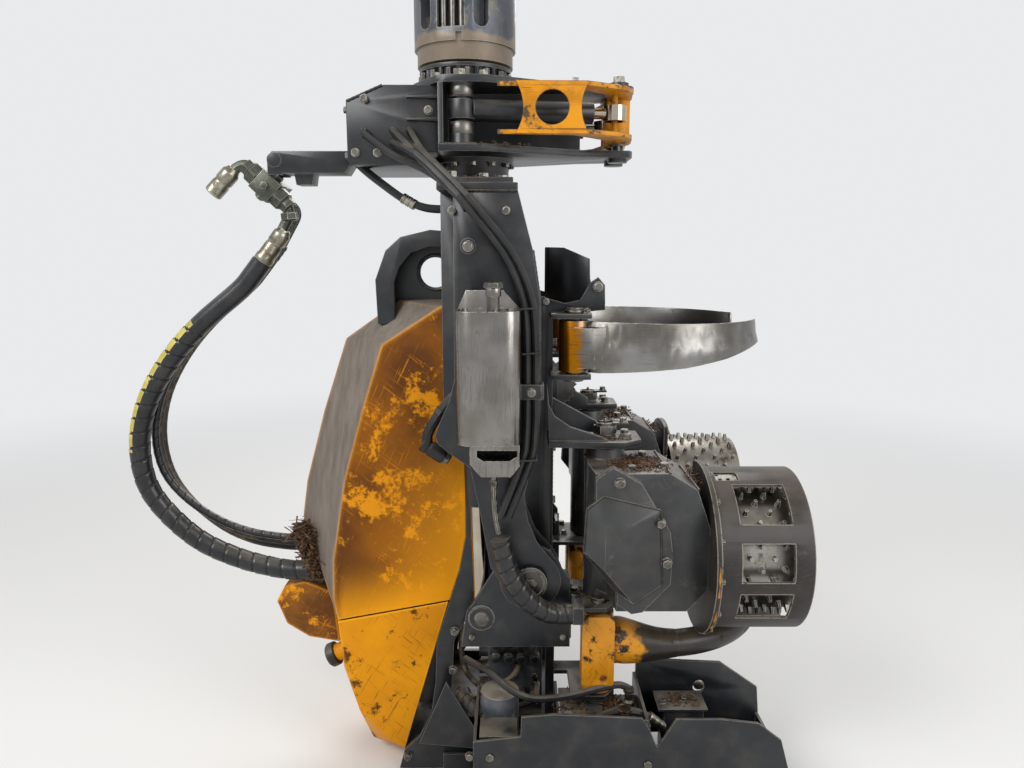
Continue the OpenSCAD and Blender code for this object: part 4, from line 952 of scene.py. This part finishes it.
# %% Weld beads
def bead(points, radius=3.6, closed=False):
    """A rippled tube through the points, in millimetres."""
    line = evenly([Vector(p) for p in points], 6.5)
    return pipe_part([tuple(p) for p in line], lambda i: radius * (1.12 if i % 2 else 0.86), steps=1, sides=1,
                     closed=closed)


def round_joint(place, radius, axis, count=40):
    """A ring of points round a boss."""
    turn = Vector(axis).to_track_quat("Z", "Y").to_matrix()
    ring = [turn @ Vector((radius * math.cos(a), radius * math.sin(a), 0)) for a in
            (2 * math.pi * k / count for k in range(count + 1))]
    return [tuple(Vector(place) + p) for p in ring]


head_beads, hanger_beads = [], []
for s in (-1, 1):
    head_beads += [bead([(237, s * 323, 1079), (395, s * 323, 1079)]),
                   bead([(251, s * 206, 1079), (251, s * 306, 1079)]),
                   bead([(251, s * 206, 1062), (251, s * 206, 700)], 3),
                   bead([(49, s * 206, 486), (284, s * 206, 486)]),
                   bead(round_joint((48, s * 312.5, 560), 35, (0, s, 0))),
                   bead([(263, s * 206, 604), (300, s * 206, 604)]),
                   bead([(-8, s * 298, 486), (284, s * 298, 486)]),
                   bead([(301, s * 297, 490), (301, s * 297, 655)]),
                   bead([(285, s * 206, 490), (285, s * 206, 655)])]
    hanger_beads += [bead([(190, s * 327, 1590), (209, s * 327, 1461), (211, s * 327, 1194),
                           (204, s * 327, 1084), (169, s * 327, 936)]),
                     bead([(190, s * 231, 1590), (209, s * 231, 1461), (211, s * 231, 1194)]),
                     bead([(-14, s * 341, 1739), (149, s * 341, 1739)]),
                     bead([(-46, s * 318, 1761), (136, s * 318, 1761)]),
                     bead([(-60, s * 191, 2030), (-60, s * 191, 1860)]),
                     bead([(-60, s * 222, 1870), (40, s * 222, 1870)])]
hanger_beads += [bead(round_joint((25, 0, 1761), 101, UP)), bead([(-310, -191, 1984), (-212, -191, 2025)], 3),
                 bead([(-312, -144, 1862), (-312, -56, 1862)])]
finished(joined(head_beads), "head_welds", seam, "head")
finished(joined(hanger_beads), "hanger_welds", seam, "hanger")
RIM = [(352, 1010), (395, 1040), (469, 997), (547, 868), (554, 814), (552, 724), (480, 645), (451, 640),
       (412, 668), (412, 790), (352, 800), (352, 1010)]
COVER = [(322, 815), (328, 930), (372, 965), (520, 928), (530, 724), (455, 668), (412, 700), (322, 815)]
for side, s in SIDES:
    parts = [bead([(x, s * 437, z) for x, z in RIM]), bead([(x, s * 453, z) for x, z in COVER], 3),
             bead(round_joint((396, s * 250, 1021), 56, UP)),
             bead([(656, s * 436, 700), (656, s * 436, 870)]),
             bead([(545, s * 436, 1021), (545, s * 210, 1021)]),
             bead([(620, s * 436, 977), (620, s * 205, 977)])]
    finished(joined(parts), "arm_welds_" + side, seam, "feed_arm_" + side)
print("welds made")

# %% [markdown]
# ## Small hoses and pipes
# Hoses run everywhere on a head. The ones at the frame's window come from the valve, three go to the saw
# and its motor, and an elbow feeds each tilt cylinder. A round tube along a smooth line is enough for
# them, because they are thin and lie in the shade, and only the motor's hose shows its wrap.

# %% Elbows, window hoses and saw hoses
for side, s in SIDES:
    elbow = [pipe_part([(-8, s * 300, 1206), (-30, s * 301, 1192), (-58, s * 301, 1156), (-84, s * 300, 1118),
                        (-96, s * 298, 1090), (-98, s * 296, 1066)], 15, sides=3),
             turned([(18, 0), (21, 3), (21, 16), (19, 18), (19, 24), (22, 27), (22, 66), (19, 72), (13, 74)],
                    (-112, s * 296, 1066), (0.84, 0, -0.54)),
             turned([(16, 0), (20, 2), (20, 16), (16, 20)], (-54, s * 301, 1162), (-0.55, 0, -0.83), 6)]
    finished(joined(elbow), "cylinder_elbow_" + side, rubber, "tilt_barrels")
    ends = [turned([(17, 0), (19, 2), (19, 14), (16, 18)], (-2, s * 300, 1210), (-0.85, 0, -0.5), 6),
            turned([(16, 0), (18, 2), (18, 14), (12, 18)], (-52, s * 294, 1028), (0.84, 0, -0.54), 6)]
    finished(joined(ends), "cylinder_ports_" + side, zinc, "tilt_barrels")
window = [[(92, -112, 392), (92, -138, 394), (70, -168, 410), (40, -176, 470), (30, -180, 560)],
          [(120, -112, 392), (120, -142, 394), (104, -176, 420), (92, -182, 480), (96, -184, 560)],
          [(150, -112, 300), (150, -146, 300), (120, -180, 285), (40, -188, 250), (-20, -190, 215),
           (-60, -186, 170)],
          [(180, -112, 360), (182, -150, 362), (200, -182, 390), (214, -186, 450), (216, -186, 560)],
          [(210, -112, 240), (212, -150, 240), (196, -182, 220), (120, -188, 190), (60, -186, 150)],
          [(100, -112, 232), (100, -140, 232), (60, -160, 240), (0, -170, 300), (-20, -176, 380),
           (-14, -180, 470)]]
tubes = [pipe_part(points, 9) for points in window]
tubes += [pipe_part([(x, -y, z) for x, y, z in points], 9) for points in window[:4]]
finished(joined(tubes), "window_hoses", dirty, "head")
HOSE_NUT = [(9, 0), (13, 2), (13, 16), (11, 20)]
nuts = [turned(HOSE_NUT, (points[0][0], s * VALVE_FACE, points[0][2]), (0, s, 0), 6)
        for points in window for s in (-1, 1)]
nuts += [turned([(9, 0), (11, 2), (11, 9), (8, 11)], (x, s * VALVE_FACE, z), (0, s, 0), 6)
         for x in (80, 140, 205) for z in (170, 265, 330, 415) for s in (-1, 1)]
finished(joined(nuts), "valve_fittings", zinc, "head")
saw_hose = pipe_part([(-6, -216, 379), (20, -250, 384), (71, -312, 391), (128, -366, 372), (186, -380, 352),
                      (260, -378, 352), (330, -368, 360), (385, -352, 366), (440, -336, 366),
                      (470, -330, 352)], 10)
finished(saw_hose, "saw_hose", rubber, "head")
MOTOR_LINE = [(-23, -216, 262), (-4, -246, 262), (24, -284, 260), (46, -316, 256), (56, -336, 250)]
motor_hose = wrapped_hose(smooth(MOTOR_LINE, 6), 18, 30)
finished(motor_hose, "motor_hose", None, "head")
box_hose = pipe_part([(180, -384, 130), (190, -384, 190), (230, -384, 240), (300, -380, 262),
                      (380, -370, 250), (430, -362, 210), (452, -356, 150)], 11)
finished(box_hose, "box_hose", rubber, "head")
print("elbows,", len(tubes), "window hoses and", len(nuts), "nuts")

# %% Fittings on the saw box
box_bits = [turned([(14, 0), (17, 2), (17, 14), (12, 18), (12, 40), (16, 42), (16, 52), (9, 56)],
                   (470, -330, 300), UP, 16),
            turned([(24, 0), (26, 2), (26, 8), (16, 10), (16, 34), (20, 36), (20, 44), (10, 48)],
                   (448, -400, 290), UP, 20),
            turned([(20, 0), (22, 2), (22, 8), (12, 10), (12, 26), (8, 30)], (400, -420, 290), UP, 6)]
finished(joined(box_bits), "saw_box_fittings", steel, "head")
print(len(box_bits), "fittings on the saw box")

# %% [markdown]
# ## Plates, keepers and the saw box
# Bolted plates stiffen the saw box, a lip folds over its opening, and small keepers stop the pins from
# turning. A clamp and three ties hold the hoses to the near leg. Each plate is a cube scaled to its size,
# and a bevel breaks its edges, as a file does on the real one.


# %% A block with rounded edges
def block(x0, x1, y0, y1, z0, z1, width=3):
    """A block of plate, milled to size, with its edges broken by width millimetres."""
    clear()
    bpy.ops.mesh.primitive_cube_add(size=1, location=at((x0 + x1) / 2, (y0 + y1) / 2, (z0 + z1) / 2))
    part = bpy.context.object
    part.scale = ((x1 - x0) * MM, (y1 - y0) * MM, (z1 - z0) * MM)
    bpy.ops.object.transform_apply(location=True, rotation=True, scale=True)
    bpy.ops.object.mode_set(mode="EDIT")
    bpy.ops.mesh.select_all(action="SELECT")
    bpy.ops.mesh.bevel(offset=width * MM, segments=2)
    bpy.ops.object.mode_set(mode="OBJECT")
    return part


# %% Plates, clamps and keepers
saw_plates = [block(388, 500, -440, -250, 276, 284), block(272, 394, -440, -240, 292, 300),
              block(46, 150, -468, -380, 286, 294), block(560, 690, -462, -300, 10, 40)]
finished(joined(saw_plates), "saw_box_plates", black, "head")
ties = []
for z, x0, x1 in ((1440, 152, 196), (1325, 162, 208), (1040, 150, 200)):
    ring = [(x0, -340, z), (x0, -386, z), (x0 + 8, -390, z + 1), (x1 - 4, -390, z + 3), (x1, -384, z + 3),
            (x1, -340, z + 2)]
    ties.append(pipe_part(ring, 2.6, steps=3, sides=1))
finished(joined(ties), "hose_ties", rubber, "hanger")
clamp = [block(156, 214, -392, -386, 1206, 1246, 2), block(152, 160, -392, -340, 1206, 1246, 2),
         block(210, 218, -392, -340, 1206, 1246, 2), block(136, 156, -348, -340, 1210, 1242, 2)]
finished(joined(clamp), "hose_clamp", black, "hanger")
clamp_bolts = [((146, -348, 1226), NEAR, 16), ((185, -392, 1226), NEAR, 18)]
finished(copies(bolt_model, clamp_bolts), "clamp_bolts", zinc, "hanger")
keepers = []
for s in (-1, 1):
    keepers += [block(370, 460, *sorted((s * 236, s * 262)), 1109, 1116, 2),
                block(330, 372, *sorted((s * 290, s * 316)), 1078, 1086, 2)]
finished(joined(keepers), "pin_keepers", black, "head")
keeper_bolts = two_sides([((446, -249, 1116), UP, 18), ((351, -303, 1086), UP, 16)])
finished(copies(bolt_model, keeper_bolts), "keeper_bolts", zinc, "head")
print("plates, ties, clamp and keepers made")

# %% Lip, plate and cover of the saw box
lip = block(160, 500, -BOX_WALL - 5, -BOX_WALL + 1, 304, 348)
raised_plate = block(318, 470, -BOX_WALL - 5, -BOX_WALL + 1, 150, 280)
cover = block(556, 700, -335, -236, 280, 288)
cover_post = block(574, 690, -326, -246, 122, 280, 4)
finished(joined([lip, raised_plate, cover, cover_post]), "saw_box_lip", black, "head")
box_bolts = [((75, -BOX_WALL, 240), NEAR, 20), ((502, -BOX_WALL, 219), NEAR, 20),
             ((20, -BOX_WALL, 240), NEAR, 18), ((640, -290, 288), UP, 18), ((575, -300, 288), UP, 16)]
finished(copies(bolt_model, box_bolts), "saw_box_bolts", zinc, "head")
box_line = pipe_part([(330, -396, 268), (371, -400, 303), (422, -400, 325), (480, -398, 322),
                      (520, -394, 302), (556, -388, 270), (566, -384, 236)], 11)
finished(box_line, "saw_box_hose", rubber, "head")
box_ferrule = turned([(r * 0.62, h) for r, h in crimp], (516, -395, 306), (26, 4, -22), 16)
finished(box_ferrule, "saw_box_ferrule", ferrule, "head")
print("saw box dressed")

# %% [markdown]
# ## Flares and worn paint
# The casting of a lower knife swells where it leaves its bar. It could be sculpted, but a tube along the
# bar's arc whose radius follows the casting gives the same round flare. The corners of the roller guards
# keep strokes of old yellow paint, which are thin ragged tubes, since a noise wouldn't follow the corner.

# %% Flares of the lower knives and paint left on the guards
FLARE_MIDDLE, FLARE_RADIUS, FLARE_Z = (558, 11), 321, 480  # the arc that the lower knife's bar is bent on
FLARE = {243: 62, 248: 66, 253: 63, 258: 58, 263: 52, 268: 46, 273: 42, 278: 39}  # radius at each angle
RIM_RADIUS, RIM_X = 239, 663  # the corner of the roller guard's flange
flare_widths = list(FLARE.values())
for side, s in SIDES:
    swept = [(FLARE_MIDDLE[0] + FLARE_RADIUS * math.cos(math.radians(a)),
              -s * (FLARE_MIDDLE[1] + FLARE_RADIUS * math.sin(math.radians(a))), FLARE_Z) for a in FLARE]
    flare = pipe_part(swept, lambda i: flare_widths[i], steps=1, sides=4)
    finished(flare, "knife_flare_" + side, hub_paint, "lower_knife_" + side)
    strokes = []
    for first_angle, last_angle in ((172, 195), (203, 226), (236, 262)):
        rim = [(RIM_X, s * (ROLLER_Y - RIM_RADIUS * math.cos(math.radians(a))),
                ROLLER_Z + RIM_RADIUS * math.sin(math.radians(a))) for a in range(first_angle, last_angle, 4)]
        strokes.append(pipe_part(rim, lambda i: 1.5 + 1.3 * ((i * 7) % 3), steps=1, sides=1))
    finished(joined(strokes), "guard_paint_" + side, yellow, NODE_BODY["roller_guard_" + side])
print("flares and paint strokes made")

# %% [markdown]
# ## Tank and manifold
# The tank on the near leg has a filler nut on top and a drain pipe below. A hose leaves the manifold box,
# whose near face carries four more nuts. All of them reuse the turned parts and the tube.

# %% Tank details and the top hose of the manifold
tank_bits = [turned([(21, 0), (24, 2), (24, 10), (21, 14), (14, 16)], (88, -421, 1496), UP, 6),
             turned([(9, 0), (12, 2), (12, 14), (9, 18)], (88, -421, 1000), DOWN, 6)]
finished(joined(tank_bits), "tank_fittings", steel, "hanger")
drain = pipe_part([(88, -421, 1000), (88, -421, 960), (92, -418, 900), (100, -410, 850)], 8)
finished(drain, "tank_pipe", steel, "hanger")
top_hose = pipe_part([(-262, -194, 1900), (-262, -214, 1900), (-240, -226, 1880), (-180, -240, 1838),
                      (-100, -262, 1800), (-40, -300, 1760), (0, -340, 1722), (20, -366, 1690)], 9)
finished(top_hose, "manifold_hose", rubber, "hanger")
nut_places = [(-262, -190, 1900)] + [(-180 + 44 * k, -190, 1900 - 32 * j) for k in range(2) for j in range(2)]
top_nuts = [turned([(9, 0), (13, 2), (13, 18), (10, 22)], place, NEAR, 6) for place in nut_places]
finished(joined(top_nuts), "manifold_nuts", zinc, "hanger")
print("tank and manifold dressed")

# %% [markdown]
# ## Webs inside the arc guard and beside the frame
# The arc guard is a channel, and a web with a large round hole closes it. The web is a ring of faces
# between the guard's outline and the hole, found by a ray from the hole's middle for each angle, and
# the Solidify modifier gives it the plate's thickness.


# %% A plate with a round hole
def web(edge, middle, radius, y, thick, count=40):
    """A plate in the XZ plane between the closed outline edge and a hole, from y inwards by thick."""
    ring = []
    for k in range(count):
        a = 2 * math.pi * k / count
        ray = Vector((math.cos(a), math.sin(a)))
        reach = 0
        for (x0, z0), (x1, z1) in zip(edge, edge[1:] + edge[:1]):
            p = Vector((x0 - middle[0], z0 - middle[1]))
            q = Vector((x1 - x0, z1 - z0))
            cross = ray.x * q.y - ray.y * q.x
            if abs(cross) > 1e-6:
                far_out = (p.x * q.y - p.y * q.x) / cross
                share = (p.x * ray.y - p.y * ray.x) / cross
                if far_out > 0 and -1e-6 <= share <= 1 + 1e-6:
                    reach = max(reach, far_out)
        ring += [at(middle[0] + radius * ray.x, y, middle[1] + radius * ray.y),
                 at(middle[0] + reach * ray.x, y, middle[1] + reach * ray.y)]
    faces = [(2 * k, 2 * k + 1, (2 * k + 3) % (2 * count), (2 * k + 2) % (2 * count)) for k in range(count)]
    part = drawn("web", ring, faces)
    thickness = part.modifiers.new("thickness", "SOLIDIFY")
    thickness.thickness = thick * MM
    bpy.ops.object.modifier_apply(modifier="thickness")
    return face_out(part)


ARC_HOLE, ARC_HOLE_RADIUS = (-90, 1525), 46
ARC_INSIDE = [(-235, 1384), (-237, 1506), (-211, 1577), (-175, 1611), (-95, 1629), (11, 1619), (73, 1552),
              (86, 1442)]
arc_web = web(ARC_INSIDE, ARC_HOLE, ARC_HOLE_RADIUS, -64, 8)
lip_radius = ARC_HOLE_RADIUS + 4
lip_ring = [(ARC_HOLE[0] + lip_radius * math.cos(a), -66, ARC_HOLE[1] + lip_radius * math.sin(a))
            for a in (2 * math.pi * k / 28 for k in range(28))]
rim_ring = pipe_part(lip_ring, 6, steps=1, closed=True)
closing = block(-176, -62, -146, -140, 190, 650, 2)
finished(joined([arc_web, rim_ring, closing]), "head_webs", black, "head")
print("webs made")

# %% [markdown]
# ## Valve coils and neck hoses
# Round coils stand in rows on both faces of the valve block, and two hoses with crimped ferrules pass
# behind the bracket's neck. One outline is turned for all coils, since real ones are alike.

# %% Coils on the valve and hoses behind the neck
COIL = [(15, 0), (17, 2), (17, 34), (13, 37), (13, 44), (8, 46)]
coils = [turned(COIL, (x, s * VALVE_FACE, z), (0, s, 0), 16)
         for x in (84, 124, 164, 204) for z in (212, 340, 386) for s in (-1, 1)]
finished(joined(coils), "valve_coils", black, "head")
neck = [pipe_part([(-318, y, 1858), (-287, y, 1818), (-224, y, 1768), (-168, y, 1730), (-110, y, 1708),
                   (-50, y, 1704)], 11) for y in (-120, -92)]
finished(joined(neck), "neck_hoses", rubber, "hanger")
THREE_GROOVES = [(r, z + 15 * k) for k in range(3) for r, z in ((13, 0), (15, 2), (15, 10), (13, 12))]
rings = [turned(THREE_GROOVES, (-176, y, 1736), (0.86, 0, -0.5), 16) for y in (-120, -92)]
finished(joined(rings), "neck_ferrules", ferrule, "hanger")
print(len(coils), "coils and", len(neck), "neck hoses")

# %% [markdown]
# ## Saw chain
# The CAD chain is a smooth band. Its links are small side plates in pairs, with a hooked cutter on every
# fourth one, and they follow the bar's outline. An array on a curve could lay them, but it would stretch
# them at the bends, so each link is placed by itself at an even pitch.

# %% Links and cutters
BAR_Y, CHAIN_Z, LINK_PITCH = -300.0, 100, 19
outline = []
# the bar's rear and its nose: the middle along X, the radius with the chain, and the first angle
for middle_x, radius, first_angle in ((100.0, 61, 90), (772.0, 44, -90)):
    for k in range(13):
        a = math.radians(first_angle + 15 * k)
        outline.append((middle_x + radius * math.cos(a), BAR_Y + radius * math.sin(a)))
outline.append(outline[0])
track = evenly([Vector((x, y, CHAIN_Z)) for x, y in outline], LINK_PITCH)
links, link_faces = [], []
for i, (here, there) in enumerate(zip(track, track[1:])):
    t = (there - here).normalized()
    n = Vector((t.y, -t.x, 0))
    tall = 9.5 if i % 4 == 0 else 6.5  # every fourth link is a cutter
    for level in (-4.5, 4.5):
        base = len(links)
        side_plate = ((-9, -4), (9, -4), (9, 3), (4, tall - 3 if i % 4 else tall), (-6, tall - 2), (-9, 2))
        for along, out in side_plate:
            for thick in (-1.3, 1.3):
                spot_mm = here + t * along + n * out
                links.append(at(spot_mm.x, spot_mm.y, CHAIN_Z + level + thick))
        low_ring = [base + 2 * k for k in range(6)]
        high_ring = [base + 2 * k + 1 for k in range(6)]
        link_faces += [tuple(reversed(low_ring)), tuple(high_ring)]
        link_faces += [(low_ring[k], low_ring[(k + 1) % 6], high_ring[(k + 1) % 6], high_ring[k])
                       for k in range(6)]
finished(face_out(drawn("links", links, link_faces)), "chain_links", steel, "saw")
print(len(track), "links")

# %% [markdown]
# ## Needles, bark and sawdust
# A working head carries litter in every corner: a pile of needles where the hoses meet the hood, red-brown
# chips on the arm and the bracket, sawdust in the saw box. A particle system could strew them, but its
# pieces must be made real afterwards. So each litter piece is a small slanted prism of one mesh, and a
# seeded random order lays the same pile every time.


# %% Litter
def litter(name, spots, body, seed, thick=(0.8, 2.2)):
    """spots = (place, spread, count, longest) in millimetres."""
    order = random.Random(seed)
    points, faces = [], []
    for place, spread, count, longest in spots:
        for _ in range(count):
            middle = Vector([place[a] + max(-1.0, min(1.0, order.gauss(0, 0.42))) * spread[a]
                             for a in range(3)])
            middle.z = max(middle.z, place[2] - spread[2] * 0.4)
            heading = Vector((order.uniform(-1, 1), order.uniform(-1, 1), order.uniform(-0.45, 0.45)))
            along = heading.normalized()
            across = along.cross(Vector((0.1, 0.2, 1))).normalized()
            lift = along.cross(across)
            half = order.uniform(0.25, 1.0) * longest / 2
            wide = order.uniform(*thick) * (2.2 if order.random() < 0.3 else 1.0)
            base = len(points)
            for end, grow in ((-half, 1.0), (half, 0.5)):
                for u, v in ((-1, -0.5), (1, -0.5), (0, 0.7)):
                    points.append(at(*(middle + along * end + (across * u + lift * v) * wide * grow)))
            faces += [(base, base + 2, base + 1), (base + 3, base + 4, base + 5),
                      (base, base + 1, base + 4, base + 3), (base + 1, base + 2, base + 5, base + 4),
                      (base + 2, base, base + 3, base + 5)]
    return finished(face_out(drawn(name, points, faces)), name, bark, body, 20)


litter("head_litter",
       [((300, -262, 1080), (60, 50, 3), 170, 16), ((300, 262, 1080), (60, 50, 3), 170, 16),
        ((380, -290, 1080), (60, 30, 3), 90, 14), ((350, -260, 606), (60, 60, 3), 110, 14),
        ((430, -345, 286), (60, 80, 4), 150, 18), ((600, -360, 12), (220, 90, 8), 420, 20),
        ((310, -330, 302), (60, 80, 4), 120, 16), ((120, -20, 432), (90, 90, 4), 160, 18),
        ((150, -90, 434), (60, 16, 8), 140, 34), ((430, -330, 296), (50, 60, 16), 170, 58),
        ((630, -285, 290), (55, 36, 3), 130, 16), ((130, 0, 582), (110, 130, 4), 160, 18),
        ((-30, -110, 148), (120, 110, 4), 160, 18)], "head", 7)
litter("hose_litter", [((-492, -112, 742), (42, 60, 34), 620, 62), ((-476, -122, 690), (34, 54, 48), 620, 54),
                       ((-462, -126, 630), (26, 40, 56), 480, 50), ((-452, -60, 600), (24, 70, 30), 220, 40)],
       "head", 5, (1.2, 3.0))
for side, s in SIDES:
    litter("arm_litter_" + side,
           [((480, s * 330, 1022), (86, 95, 3), 820, 12), ((620, s * 300, 978), (44, 95, 3), 240, 11)],
           "feed_arm_" + side, 11 + s)
litter("hanger_litter", [((-10, -60, 2046), (30, 70, 2), 60, 12), ((60, -150, 2046), (90, 40, 2), 90, 12),
                         ((60, -180, 1870), (120, 60, 3), 160, 14), ((50, 250, 1777), (80, 90, 2), 90, 12),
                         ((50, -250, 1777), (80, 90, 2), 120, 12)], "hanger", 23)
print("litter laid")

# %% [markdown]
# ## The model bolt is removed
# The bolt that all copies came from leaves the scene.

bpy.data.objects.remove(bolt_model, do_unlink=True)
